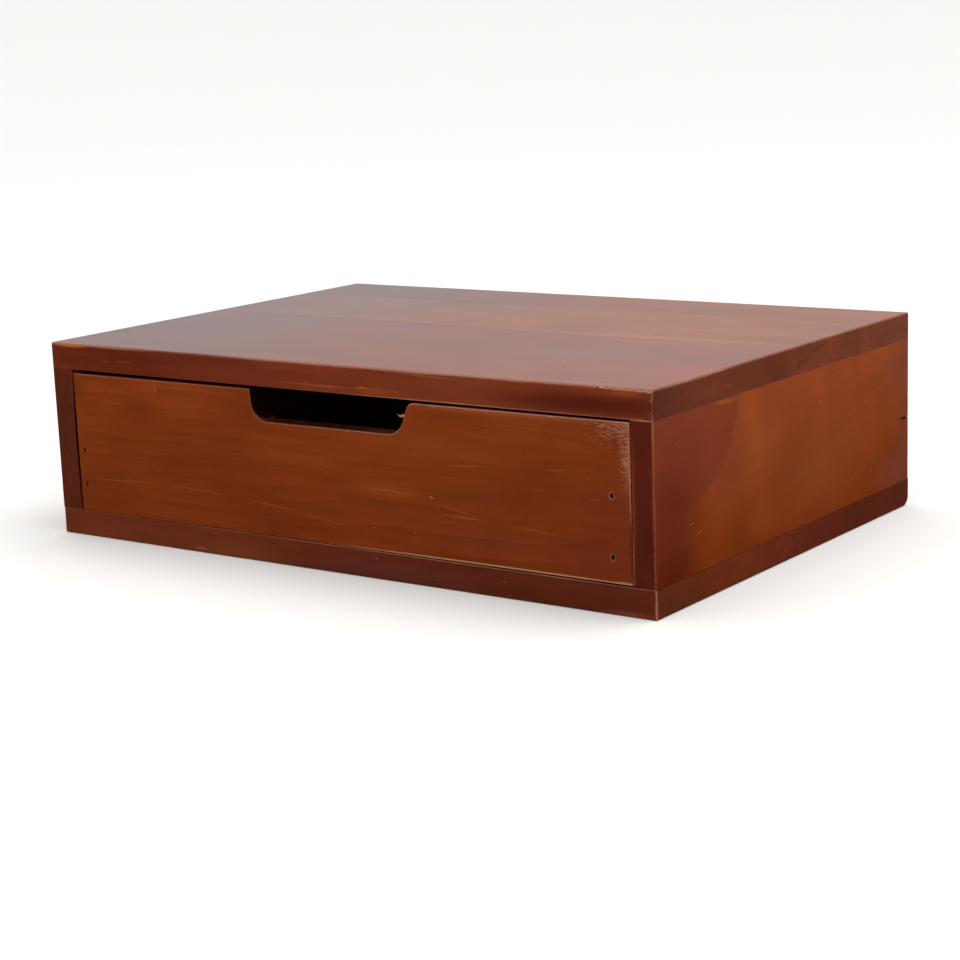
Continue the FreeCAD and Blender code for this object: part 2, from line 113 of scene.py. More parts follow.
def put(tree, kind, inputs=(), **settings):
    """Adds a shader node, whose kind is given without the word ShaderNode. Settings are its options.
    Inputs are a list, in the order of those in use, or go by name or number. Each is a value, a
    socket or a node, whose first output in use is then linked."""
    made = tree.nodes.new("ShaderNode" + kind)
    for name, value in settings.items():
        setattr(made, name, value)
    used = [socket for socket in made.inputs if socket.enabled]
    for key, value in inputs.items() if isinstance(inputs, dict) else enumerate(inputs):
        socket = used[key] if isinstance(key, int) else next(one for one in used if one.name == key)
        if isinstance(value, bpy.types.Node):
            value = next(output for output in value.outputs if output.enabled)
        if isinstance(value, bpy.types.NodeSocket):
            tree.links.new(value, socket)
        else:
            socket.default_value = value
    return made


def empty_material(name):
    """A material without nodes, and its node tree."""
    material = bpy.data.materials.new(name)
    material.use_nodes = True
    material.node_tree.nodes.clear()
    return material, material.node_tree


print("mid stain in linear values:", [round(value, 3) for value in tone("#6E2F12")[:3]])

# %% [markdown]
# ## A pale studio
#
# The box stands on a plain pale floor that curves up far away, under a soft white tent. A tent is
# one big light, so the world does most of the work: it is bright from a little above the horizon up
# to overhead, and dark at the horizon and below, as a tent is where its cloth meets the table. That
# dark band keeps the upright lacquered faces rich in colour, while the lid, seen at a low angle,
# mirrors the bright cloth behind it. The floor would veil the upright faces with its own reflection,
# so shiny surfaces don't see it.

# %% Build the tent
studio = bpy.context.scene
studio.view_settings.view_transform = "Standard"
world = bpy.data.worlds.new("white_tent")
studio.world = world
world.use_nodes = True
world.node_tree.nodes.clear()
way = put(world.node_tree, "TexCoord")
parted = put(world.node_tree, "SeparateXYZ", [way.outputs["Generated"]])
hem = put(
    world.node_tree, "MapRange",
    {"Value": parted.outputs["Z"], "From Min": -0.03, "From Max": 0.07, "To Min": 0.0, "To Max": 0.62},
    interpolation_type="SMOOTHSTEP")
roof = put(
    world.node_tree, "MapRange",
    {"Value": parted.outputs["Z"], "From Min": 0.1, "From Max": 1.0, "To Min": 1.0, "To Max": 2.1})
cloth = put(world.node_tree, "Math", [hem, roof], operation="MULTIPLY")
glow = put(world.node_tree, "Background", {"Color": tone("#FFFFFF"), "Strength": cloth})
put(world.node_tree, "OutputWorld", {"Surface": glow})

# %% Build the floor and one soft lamp
FLOOR_REACH = 4.0
FLOOR_DROP = 0.0001
RIM_RADIUS = 1.2
BEND_STEPS = 12
SPOKES = 96
floor_mesh = bpy.data.meshes.new("studio_floor")
sheet = bmesh.new()
rings = [(FLOOR_REACH * share, 0.0) for share in (0.25, 0.5, 0.75, 1.0)]
for step in range(1, BEND_STEPS + 1):
    bend = math.radians(90 * step / BEND_STEPS)
    rings.append((FLOOR_REACH + RIM_RADIUS * math.sin(bend), RIM_RADIUS * (1 - math.cos(bend))))
middle = sheet.verts.new((0, 0, 0))
inner = None
for radius, height in rings:
    outer = []
    for spoke in range(SPOKES):
        angle = math.tau * spoke / SPOKES
        outer.append(sheet.verts.new((radius * math.cos(angle), radius * math.sin(angle), height)))
    for spoke in range(SPOKES):
        ahead = (spoke + 1) % SPOKES
        if inner is None:
            sheet.faces.new((middle, outer[spoke], outer[ahead]))
        else:
            sheet.faces.new((inner[spoke], outer[spoke], outer[ahead], inner[ahead]))
    inner = outer
sheet.to_mesh(floor_mesh)
sheet.free()
floor_mesh.shade_smooth()
floor = bpy.data.objects.new("studio_floor", floor_mesh)
floor.location.z = -FLOOR_DROP
floor.visible_glossy = False
studio.collection.objects.link(floor)

paint, paint_tree = empty_material("matt_white_studio_paint")
coat = put(
    paint_tree, "BsdfPrincipled",
    {"Base Color": tone("#F6F5F3"), "Roughness": 0.95, "Specular IOR Level": 0.1})
put(paint_tree, "OutputMaterial", {"Surface": coat})
floor_mesh.materials.append(paint)

lamp = bpy.data.lights.new("soft_box", "AREA")
lamp.shape = "RECTANGLE"
lamp.size = 1.6
lamp.size_y = 1.2
lamp.energy = 14.0
soft_box = bpy.data.objects.new("soft_box", lamp)
soft_box.location = (0.9, 0.3, 2.0)
soft_box.rotation_mode = "QUATERNION"
soft_box.rotation_quaternion = Vector(soft_box.location).to_track_quat("Z", "Y")
studio.collection.objects.link(soft_box)
print("floor out to", FLOOR_REACH + RIM_RADIUS, "m and one lamp of", lamp.energy, "W")

# %% [markdown]
# ## Boards with a life behind them
#
# A board that was sawn, sanded by hand and used is not a box with one radius on every edge. Its
# edges wander, they are worn round in one place and nearly sharp in the next, and they have nicks
# where something hit them. A Bevel modifier gives every edge the same radius, and displacement from
# a texture moves the flat faces too. So each board starts as a copy of its measured solid, is
# sliced by planes so that it has points where the wear will be, and then the wear is carved: a
# point that sticks out of the sanded shape is moved onto it.

# %% Slice a measured solid into workable points
FACES = {
    # name: (axis, outward sign)
    "left": (0, -1), "right": (0, 1), "front": (1, -1), "rear": (1, 1), "under": (2, -1), "upper": (2, 1),
}
ROWS = (0.3, 0.65, 1.0, 1.6)
PITCH = (4.0, 5.0, 4.0)


def places_between(low, high, pitch):
    """Evenly spaced places inside a span, none on its ends."""
    count = max(1, round((high - low) / pitch))
    return [low + (high - low) * step / count for step in range(1, count)]


def near(face, centre, reach):
    """True if the face's box meets the box round centre, both in millimetres."""
    for axis in range(3):
        along = [vert.co[axis] / MM for vert in face.verts]
        if max(along) < centre[axis] - reach[axis] or min(along) > centre[axis] + reach[axis]:
            return False
    return True


def slice_parts(mesh, parts, axis, places):
    """Cuts points, edges and faces by planes across one axis, and gives back what they became."""
    normal = Vector([float(index == axis) for index in range(3)])
    for place in places:
        cut = bmesh.ops.bisect_plane(
            mesh, geom=parts, dist=1e-7, plane_co=normal * place * MM, plane_no=normal)
        parts = cut["geom"]
    return parts


def refine(mesh, centre, reach, pitch):
    """Adds points at a finer pitch in a small box round a place."""
    faces = [face for face in mesh.faces if near(face, centre, reach)]
    edges = {edge for face in faces for edge in face.edges}
    parts = [*{vert for face in faces for vert in face.verts}, *edges, *faces]
    for axis in range(3):
        low = centre[axis] - reach[axis]
        high = centre[axis] + reach[axis]
        parts = slice_parts(mesh, parts, axis, [low, *places_between(low, high, pitch), high])


def face_place(corners, name):
    """The axis, the place and the outward sign of a board's face."""
    axis, sign = FACES[name]
    return axis, corners[1][axis] if sign > 0 else corners[0][axis], sign


def sliced_copy(node, arrises=(), pitch=PITCH):
    """A copy of a measured solid with points every pitch, and rows of them beside its arrises."""
    mesh = bmesh.new()
    mesh.from_mesh(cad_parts[node].data)
    bmesh.ops.remove_doubles(mesh, verts=mesh.verts, dist=1e-6)
    bmesh.ops.dissolve_limit(mesh, angle_limit=math.radians(0.5), verts=mesh.verts, edges=mesh.edges)
    corners = [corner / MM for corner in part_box(node)]
    for axis in range(3):
        places = set(places_between(corners[0][axis], corners[1][axis], pitch[axis]))
        for names, radius, *_ in arrises:
            for name in names.split():
                face_axis, face, sign = face_place(corners, name)
                if face_axis == axis:
                    places |= {face - sign * row * radius for row in ROWS}
        slice_parts(mesh, [*mesh.verts, *mesh.edges, *mesh.faces], axis, sorted(places))
    return mesh, corners


trial, *_ = sliced_copy("top_front_stave", [("front upper", 1.4)])
print("points in a sliced stave:", len(trial.verts))
trial.free()

# %% [markdown]
# ## Carving
#
# Three tools do all the wear. The first sands an arris to a radius that wanders along it. The second
# pushes an egg-shaped gouge into the wood, for dents, nicks and torn fibres. The third moves
# nothing: it writes down, for each point, how far it is from the nearest rubbed arris, measured in
# that arris's own rub width, and the stain reads this to wear thin there.
#
# A measured solid also brings the shading normals of its uncarved faces. They are thrown away, so
# that the light follows the carved shape and breaks at its corners.

# %% Carve worn arrises and gouges
RUB = "rubbed"
FARTHEST_RUB = 4.0
SHARPEST = 0.12
CORNER_ANGLE = math.radians(48)
SLOW_WANDER, QUICK_WANDER = 34, 6.5


def wander(place, seed):
    """Smooth noise from about -1 to 1 along a line, coarse and fine together."""
    coarse = noise.noise((place / SLOW_WANDER, seed, 0.5))
    return coarse + 0.6 * noise.noise((place / QUICK_WANDER, seed + 9.7, 2.5))


def at_place(widths, place):
    """A width somewhere along an arris, from one number or from pairs of place and width."""
    if isinstance(widths, (int, float)):
        return widths
    for (start, first), (end, second) in zip(widths, widths[1:]):
        if place <= end:
            return first + (second - first) * max(0.0, (place - start) / (end - start))
    return widths[-1][1]


def wear_arris(mesh, corners, names, radius, wobble, seed):
    """Moves the points beside one arris onto a round whose radius wanders along it."""
    faces = [face_place(corners, name) for name in names.split()]
    along = 3 - faces[0][0] - faces[1][0]
    for vert in mesh.verts:
        here = vert.co / MM
        depths = [(face - here[axis]) * sign for axis, face, sign in faces]
        if max(depths) > radius + 2 * wobble:
            continue
        reach = max(SHARPEST, radius + wobble * wander(here[along], seed))
        inward = [reach - depth for depth in depths]
        if min(inward) <= 0 or math.hypot(*inward) <= reach:
            continue
        shrink = reach / math.hypot(*inward)
        for (axis, face, sign), depth in zip(faces, inward):
            vert.co[axis] = (face - sign * (reach - depth * shrink)) * MM


def gouge(mesh, centre, radii):
    """Pushes points out of an egg whose centre lies at or outside the surface."""
    middle = Vector(centre)
    for vert in mesh.verts:
        away = vert.co / MM - middle
        if abs(away.x) > radii[0] or abs(away.y) > radii[1] or abs(away.z) > radii[2]:
            continue
        share = math.hypot(*(away[axis] / radii[axis] for axis in range(3)))
        if 0 < share < 1:
            vert.co = (middle + away / share) * MM


def note_rubbing(mesh, corners, arrises):
    """Writes each point's distance from the nearest arris, in that arris's own rub widths."""
    layer = mesh.verts.layers.float.new(RUB)
    for vert in mesh.verts:
        vert[layer] = FARTHEST_RUB
    for seed, (names, _, _, widths) in enumerate(arrises):
        faces = [face_place(corners, name) for name in names.split()]
        along = 3 - faces[0][0] - faces[1][0]
        for vert in mesh.verts if widths else ():
            here = vert.co / MM
            depth = max((face - here[axis]) * sign for axis, face, sign in faces)
            wide = at_place(widths, here[along]) * (1 + 0.5 * wander(here[along], seed + 31.3))
            vert[layer] = min(vert[layer], depth / max(wide, SHARPEST))


strays = [round(0.5 * wander(place, 5.3), 2) for place in (-90, 0, 90)]
print("a lid arris meant to be 1.2 mm strays by", strays, "mm")

# %% Put a carved mesh in the scene
def finish_piece(name, mesh, body, material, nodes=()):
    """Makes the carved mesh a piece of the scene that stands for its measured solids."""
    data = bpy.data.meshes.new(name)
    mesh.to_mesh(data)
    mesh.free()
    if data.has_custom_normals:
        data.attributes.remove(data.attributes["custom_normal"])
    data.materials.append(material)
    data.shade_smooth()
    data.set_sharp_from_angle(angle=CORNER_ANGLE)
    piece = bpy.data.objects.new(name, data)
    studio.collection.objects.link(piece)
    flats = piece.modifiers.new("even_flats", "WEIGHTED_NORMAL")
    flats.keep_sharp = True
    flats.weight = 100
    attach(piece, body)
    if nodes:
        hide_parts(*nodes)
    print(name, "has", len(data.vertices), "points")


def close_tube(mesh, rings):
    """Joins rings of points into a tube with both ends shut, and readies it for a rubbed stain."""
    mesh.faces.new(rings[0])
    for ring, following in zip(rings, rings[1:]):
        for step in range(len(ring)):
            ahead = (step + 1) % len(ring)
            mesh.faces.new((ring[step], following[step], following[ahead], ring[ahead]))
    mesh.faces.new(reversed(rings[-1]))
    bmesh.ops.recalc_face_normals(mesh, faces=mesh.faces)
    mesh.verts.layers.float.new(RUB)


# %% [markdown]
# ## Marks in the wood
#
# What makes a board this board and no other is where its marks are: a resin streak, a knot, a patch
# where the stain pooled, a scratch. Each mark is a soft-edged egg of colour at a place inside the
# board, so it shows on every face that it reaches. A stroke is a thin egg between two places. A mark
# can be broken up into flecks along the grain, as a scuffed lacquer is, and it can dull the lacquer.
# Some marks are painted light: painted shade in gaps, holes and recesses, and painted highlights.

# %% Describe a mark
SKIN = 1.2
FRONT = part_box("drawer_front")[0].y / MM
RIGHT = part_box("right_side")[1].x / MM
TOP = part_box("top_front_stave")[1].z / MM
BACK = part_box("back_board")[1].y / MM


def on_front(x, z):
    return Vector((x, FRONT, z))


def on_right(y, z):
    return Vector((RIGHT, y, z))


def on_top(x, y):
    return Vector((x, y, TOP))


def spot(centre, radii, code, strength=1.0, soft=0.8, broken=None, dull=0.0, along=(1, 0, 0)):
    """An egg of colour whose first radius lies along a direction. A broken one shows only in flecks,
    and broken holds the values of the fleck noise where they start and where they are full."""
    turned = Vector((1, 0, 0)).rotation_difference(Vector(along)).to_euler()
    return SimpleNamespace(
        centre=centre, radii=radii, turned=turned, code=code, strength=strength, soft=soft, broken=broken,
        dull=dull)


def stroke(start, end, wide, code, strength=1.0, **more):
    """A thin egg of colour from one place to another."""
    radii = ((end - start).length / 2, wide, wide)
    return spot((start + end) / 2, radii, code, strength, along=end - start, **more)


def front_lines(*rows):
    """Strokes on the front: x and z of both ends, the half width, the colour and its strength."""
    return [stroke(on_front(*row[:2]), on_front(*row[2:4]), *row[4:]) for row in rows]


def right_lines(*rows):
    """Strokes on the right: y and z of both ends, the half width, the colour and its strength."""
    return [stroke(on_right(*row[:2]), on_right(*row[2:4]), *row[4:]) for row in rows]


def front_clouds(*rows):
    """Soft spots on the front: x and z, the radii along them, the colour and its strength."""
    return [spot(on_front(*row[:2]), (row[2], 4, row[3]), *row[4:], soft=1.0) for row in rows]


def right_clouds(*rows):
    """Soft spots in the skin of the right: y and z, the radii along them, the colour and its strength."""
    return [spot(on_right(*row[:2]), (SKIN, *row[2:4]), *row[4:], soft=1.0) for row in rows]


print("front, right, top and back faces in mm:", [round(face, 2) for face in (FRONT, RIGHT, TOP, BACK)])

# %% [markdown]
# ## Stained wood under satin lacquer
#
# The boards are edge-glued strips of a plain, fine-grained wood with a red-brown stain and a sprayed
# satin lacquer. Wood is a solid: the rings are cylinders round the heart of the tree, so a flat face
# shows them as wavy bands and the end of the same board shows them as arcs. That is why the pattern
# is worked out from the place in the board and not from an image laid on each face. On top come fine
# fibres along the grain, a few short dark pores, slow clouds where the stain took unevenly, a ripple
# across the grain from the planer, end grain that drank more stain, and arrises where the stain was
# rubbed thin. The edge of a cut-out is no straight arris, so on such a board the rubbing goes by the
# slope of the surface instead: a point that faces along no axis is on a rounded edge.
#
# The lacquer is the clear coat of the shader. Matted lacquer mirrors less than its usual index of
# 1.5 says, so its index is lowered until the lid, seen at a low angle, is as pale as the real one.
# Fibres a tenth of a millimetre wide would be too fine to show, so they are drawn 0.7 mm wide.

# %% Stretch noises along the grain
PATTERNS = {
    # name: (length along the grain, width across it, detail, roughness of the detail)
    "fibre": (20.0, 0.7, 3.0, 0.62),
    "streak": (90.0, 3.6, 3.0, 0.58),
    "cloud": (60.0, 30.0, 2.5, 0.5),
    "drift": (110.0, 34.0, 1.5, 0.45),
    "ripple": (11.0, 150.0, 1.5, 0.5),
    "fleck": (2.8, 0.5, 1.5, 0.5),
}


def wood_patterns(tree, mm, look):
    """Noises stretched along the grain, read from the place in the board."""
    found = {}
    for offset, (key, (long, wide, detail, rough)) in enumerate(PATTERNS.items()):
        squeeze = [1 / long if axis == look.grain else 1 / wide for axis in range(3)]
        start = (look.seed * 7.31 + offset * 3.7, look.seed * 2.17, offset * 5.1)
        spread = put(tree, "VectorMath", [mm, squeeze, start], operation="MULTIPLY_ADD")
        found[key] = put(
            tree, "TexNoise", {"Vector": spread, "Scale": 1.0, "Detail": detail, "Roughness": rough})
    return found


print("noises in the wood:", ", ".join(PATTERNS))

# %% Add the growth rings
# place across one ring and its shade, where 0.5 changes nothing
RING_SHADES = ((0.0, 0.56), (0.45, 0.5), (0.8, 0.1), (0.89, 0.25), (0.94, 1.0), (0.98, 0.62))
RING_FRAY = 0.12


def growth_rings(tree, mm, look, pattern):
    """Bands by distance from the heart of the tree, pushed about by the slow drift."""
    section = Vector([float(axis != look.grain) for axis in range(3)])
    from_heart = -(Vector(look.heart) + section * look.wave / 2)
    drift = pattern["drift"].outputs["Color"]
    push = put(tree, "VectorMath", [drift, section * look.wave, from_heart], operation="MULTIPLY_ADD")
    offset = put(tree, "VectorMath", [mm, section, push], operation="MULTIPLY_ADD")
    radius = put(tree, "VectorMath", [offset], operation="LENGTH")
    ring = put(tree, "Math", [radius.outputs["Value"], look.ring], operation="DIVIDE")
    ragged = put(tree, "Math", [pattern["fibre"], RING_FRAY, ring], operation="MULTIPLY_ADD")
    share = put(tree, "Math", [ragged], operation="FRACT")
    shades = put(tree, "ValToRGB", {"Fac": share})
    ramp = shades.color_ramp
    for place, shade in RING_SHADES[2:]:
        ramp.elements.new(place)
    for element, (place, shade) in zip(ramp.elements, RING_SHADES):
        element.position = place
        element.color = (shade, shade, shade, 1)
    come_and_go = put(
        tree, "MapRange", {"Value": pattern["cloud"], "From Min": 0.38, "From Max": 0.62, "To Min": 0.25})
    centred = put(tree, "Math", [shades.outputs["Color"], 0.5], operation="SUBTRACT")
    return put(tree, "Math", [centred, come_and_go], operation="MULTIPLY")


print("shades across one ring:", [shade for _, shade in RING_SHADES])

# %% Stain each side and open the pores
PORE_LENGTH = 4.2
PORE_WIDTH = 0.5
PORE_CORE, PORE_EDGE = 0.12, 0.34


def stained_base(tree, place, mm, look):
    """Three stains, for broad faces, edges and ends, each turning to another along the board, and how
    squarely the surface faces along an axis."""
    facing = put(tree, "VectorMath", [place.outputs["Normal"]], operation="ABSOLUTE")
    sides = put(tree, "SeparateXYZ", [facing])
    parts = put(tree, "SeparateXYZ", [mm])
    colour = None
    for stain, axis_faced in ((look.face, None), (look.edge, look.edge_axis), (look.end, look.grain)):
        first, second, axis, start, end = stain
        along = put(
            tree, "MapRange", {"Value": parts.outputs[axis], "From Min": start, "From Max": end},
            interpolation_type="SMOOTHSTEP")
        layer = put(
            tree, "Mix", {"Factor": along, "A": tone(first), "B": tone(second)}, data_type="RGBA")
        if colour is None:
            colour = layer
            continue
        toward = put(
            tree, "MapRange", {"Value": sides.outputs[axis_faced], "From Min": 0.6, "From Max": 0.85},
            interpolation_type="SMOOTHSTEP")
        colour = put(tree, "Mix", {"Factor": toward, "A": colour, "B": layer}, data_type="RGBA")
    flatness = put(tree, "Math", [sides.outputs[0], sides.outputs[1]], operation="MAXIMUM")
    flatness = put(tree, "Math", [flatness, sides.outputs[2]], operation="MAXIMUM")
    return colour, flatness


def pores_in(tree, mm, look, pattern):
    """Short dark dashes along the grain, in some cells only and more of them under some clouds."""
    squeeze = [1 / PORE_LENGTH if axis == look.grain else 1 / PORE_WIDTH for axis in range(3)]
    spread = put(tree, "VectorMath", [mm, squeeze, (look.seed, 0, 0)], operation="MULTIPLY_ADD")
    cells = put(tree, "TexVoronoi", {"Vector": spread, "Scale": 1.0})
    distance = cells.outputs["Distance"]
    dash = put(
        tree, "MapRange",
        {"Value": distance, "From Min": PORE_CORE, "From Max": PORE_EDGE, "To Min": 1.0, "To Max": 0.0})
    lot = put(tree, "SeparateColor", [cells.outputs["Color"]])
    rank = put(tree, "Math", [pattern["cloud"], 0.35, lot], operation="MULTIPLY_ADD")
    full, none = look.pores + 0.14, look.pores + 0.22
    there = put(
        tree, "MapRange",
        {"Value": rank, "From Min": full, "From Max": none, "To Min": 1.0, "To Max": 0.0})
    return put(tree, "Math", [dash, there], operation="MULTIPLY")


print("a pore is", round(2 * PORE_EDGE * PORE_LENGTH, 1), "mm long at most")

# %% Put the wood together
def add_marks(tree, mm, colour, film, marks, pattern):
    """Lays each mark over the colour, and takes some lacquer off where a mark is dull."""
    for mark in marks:
        seen = put(
            tree, "Mapping",
            {"Vector": mm, "Location": mark.centre, "Rotation": mark.turned, "Scale": mark.radii},
            vector_type="TEXTURE")
        away = put(tree, "VectorMath", [seen], operation="LENGTH")
        inside = put(
            tree, "MapRange",
            {"Value": away.outputs["Value"], "From Min": 1.0, "From Max": 1 - mark.soft, "To Min": 0.0,
             "To Max": mark.strength},
            interpolation_type="SMOOTHSTEP")
        if mark.broken:
            start, full = mark.broken
            flecks = put(
                tree, "MapRange", {"Value": pattern["fleck"], "From Min": start, "From Max": full})
            inside = put(tree, "Math", [inside, flecks], operation="MULTIPLY")
        colour = put(
            tree, "Mix", {"Factor": inside, "A": colour, "B": tone(mark.code)}, data_type="RGBA")
        if mark.dull:
            kept = put(tree, "Math", [inside, -mark.dull, 1.0], operation="MULTIPLY_ADD")
            film = put(tree, "Math", [film, kept], operation="MULTIPLY")
    return colour, film


def stained_wood(name, look, marks=()):
    """A material for one board. Look holds its grain axis, the heart of its tree and its colours."""
    material, tree = empty_material(name)
    place = put(tree, "TexCoord")
    mm = put(tree, "VectorMath", {0: place.outputs["Object"], "Scale": 1 / MM}, operation="SCALE")
    sloped = put(tree, "Mapping", {"Vector": mm, "Rotation": look.slope})
    pattern = wood_patterns(tree, sloped, look)
    rings_seen = growth_rings(tree, mm, look, pattern)
    colour, flatness = stained_base(tree, place, mm, look)
    pore = pores_in(tree, sloped, look, pattern)

    for source, low, high, amount in (
        (pattern["cloud"], 0.3, 0.7, look.cloud),
        (pattern["streak"], 0.3, 0.7, look.streak),
        (pattern["fibre"], 0.3, 0.7, look.fibre),
        (pattern["ripple"], 0.3, 0.7, look.ripple),
        (rings_seen, -0.5, 0.5, look.band),
    ):
        dark, bright = 1 - amount, 1 + amount
        lit = put(
            tree, "MapRange",
            {"Value": source, "From Min": low, "From Max": high, "To Min": dark, "To Max": bright})
        colour = put(tree, "VectorMath", {0: colour, "Scale": lit}, operation="SCALE")
    colour = put(
        tree, "Mix", {"Factor": pore, "A": colour, "B": tone(look.pore_colour)}, data_type="RGBA")

    rubbing = put(tree, "Attribute", attribute_name=RUB)
    ragged = put(tree, "Math", [pattern["fibre"], 1.2, rubbing.outputs["Fac"]], operation="MULTIPLY_ADD")
    thin = put(
        tree, "MapRange",
        {"Value": ragged, "From Min": 0.7, "From Max": 1.7, "To Min": look.rub, "To Max": 0.0},
        interpolation_type="SMOOTHSTEP")
    parts = put(tree, "SeparateXYZ", [mm])
    if look.rim:
        first, second, axis, start, end = look.rim
        along = parts.outputs[axis]
        worn_most = put(
            tree, "MapRange",
            {"Value": along, "From Min": start, "From Max": end, "To Min": first, "To Max": second})
        fleck = pattern["fleck"]
        patchy = put(
            tree, "MapRange", {"Value": fleck, "From Min": 0.4, "From Max": 0.55, "To Min": 0.45})
        worn_most = put(tree, "Math", [worn_most, patchy], operation="MULTIPLY")
        rim = put(
            tree, "MapRange",
            {"Value": flatness, "From Min": 0.84, "From Max": 0.95, "To Min": worn_most, "To Max": 0.0})
        thin = put(tree, "Math", [thin, rim], operation="MAXIMUM")
    colour = put(tree, "Mix", {"Factor": thin, "A": colour, "B": tone(look.worn)}, data_type="RGBA")

    first, second, axis, start, end = look.film
    along = parts.outputs[axis]
    film = put(
        tree, "MapRange",
        {"Value": along, "From Min": start, "From Max": end, "To Min": first, "To Max": second},
        interpolation_type="SMOOTHSTEP")
    open_pores = put(tree, "Math", [pore, -0.5, 1.0], operation="MULTIPLY_ADD")
    film = put(tree, "Math", [film, open_pores], operation="MULTIPLY")
    colour, film = add_marks(tree, mm, colour, film, marks, pattern)

    relief = put(tree, "Math", [pore, -0.8, pattern["fibre"]], operation="MULTIPLY_ADD")
    wood_relief = put(tree, "Bump", {"Height": relief, "Strength": 0.6, "Distance": 0.03 * MM})
    film_relief = put(tree, "Bump", {"Height": relief, "Strength": 0.5, "Distance": 0.006 * MM})
    shader = put(
        tree, "BsdfPrincipled",
        {"Base Color": colour, "Roughness": 0.6, "Specular IOR Level": 0.0, "Normal": wood_relief,
         "Coat Weight": film, "Coat Roughness": 0.18, "Coat IOR": 1.3, "Coat Normal": film_relief})
    put(tree, "OutputMaterial", {"Surface": shader})
    return material


print("stained wood mixes", len(PATTERNS), "noises, the rings, the pores and a board's own marks")

# %% Describe and dress a board
ALL_X = (0, -180, 180)
# Upright faces turn from darker low down to lighter high up between these heights: painted light from
# above.
PAINTED_LIGHT_RISE = (2, 14, 86)


def even(value):
    """A stain or a film that stays the same from end to end. Others turn from one value to another
    between two places on an axis."""
    return (value, value, *ALL_X)


def all_round(first, second):
    """One stain for faces, edges and ends alike."""
    stain = (first, second, *ALL_X)
    return dict(face=stain, edge=stain, end=stain)


def look_of(**changes):
    """The values that most boards share, with changes."""
    look = dict(
        grain=0, edge_axis=1, heart=(0, 30, -60), ring=6.0, wave=14.0, slope=(0, 0, 0), seed=1,
        cloud=0.1, streak=0.1, fibre=0.08, ripple=0.02, band=0.1, pores=0.05, pore_colour="#3A1206",
        worn="#A4602F", rub=0.75, rim=None, film=even(1.0))
    look.update(changes)
    return SimpleNamespace(**look)


def dress_board(node, body, look, arrises=(), marks=(), carve=None, pitch=PITCH):
    """Slices, wears and stains one board, and puts it in place of its measured solid."""
    mesh, corners = sliced_copy(node, arrises, pitch)
    for number, (names, radius, wobble, _) in enumerate(arrises):
        wear_arris(mesh, corners, names, radius, wobble, look.seed * 5.3 + number)
    note_rubbing(mesh, corners, arrises)
    if carve:
        carve(mesh)
    wood = stained_wood("stained_wood_" + node, look, marks)
    finish_piece(node + "_worn", mesh, body, wood, [node])


print("most boards are rubbed by", look_of().rub, "at a worn arris")

# %% [markdown]
# ## The lid
#
# Three staves are glued edge to edge. The lacquer is fullest at the left end and thinner toward the
# right. The front arris carries the story: rubbed broad and orange at the left corner, nearly
# untouched a little further on, and crushed at the right end, where the saw also tore the fibres of
# the end grain. A little glue was squeezed out of the joint and lacquered over.

# %% Mark the lid
joint_marks = [
    stroke(on_top(-12, 0), on_top(165, 0), 1.3, "#B98066", 0.55),
    spot(on_top(125, 5), (80, 9, 2), "#A87858", 0.35, soft=1.0),
]
lid_marks = [
    stroke(on_top(-174.7, -92.7), on_top(-170.7, -75.7), 2.0, "#3A2420", 0.8, dull=0.35),
    stroke(on_top(-166.7, -87.7), on_top(-170.7, -75.7), 1.6, "#3A2420", 0.7, dull=0.3),
    *joint_marks,
    stroke(on_top(19.1, -57.4), on_top(83.1, -48.6), 0.8, "#4A2012", 0.5, dull=0.2),
    spot(on_top(85, -44), (130, 38, 3), "#784E48", 0.5, soft=1.0),
    spot(on_top(-145, -45), (60, 40, 3), "#4E2420", 0.4, soft=1.0),
]
left_arris = [
    stroke(on_top(-180, -135), on_top(-180, 135), 1.2, "#44302E", 0.75),
    stroke(on_front(-180, 80), on_front(-180, 106), 1.3, "#44302E", 0.75),
]
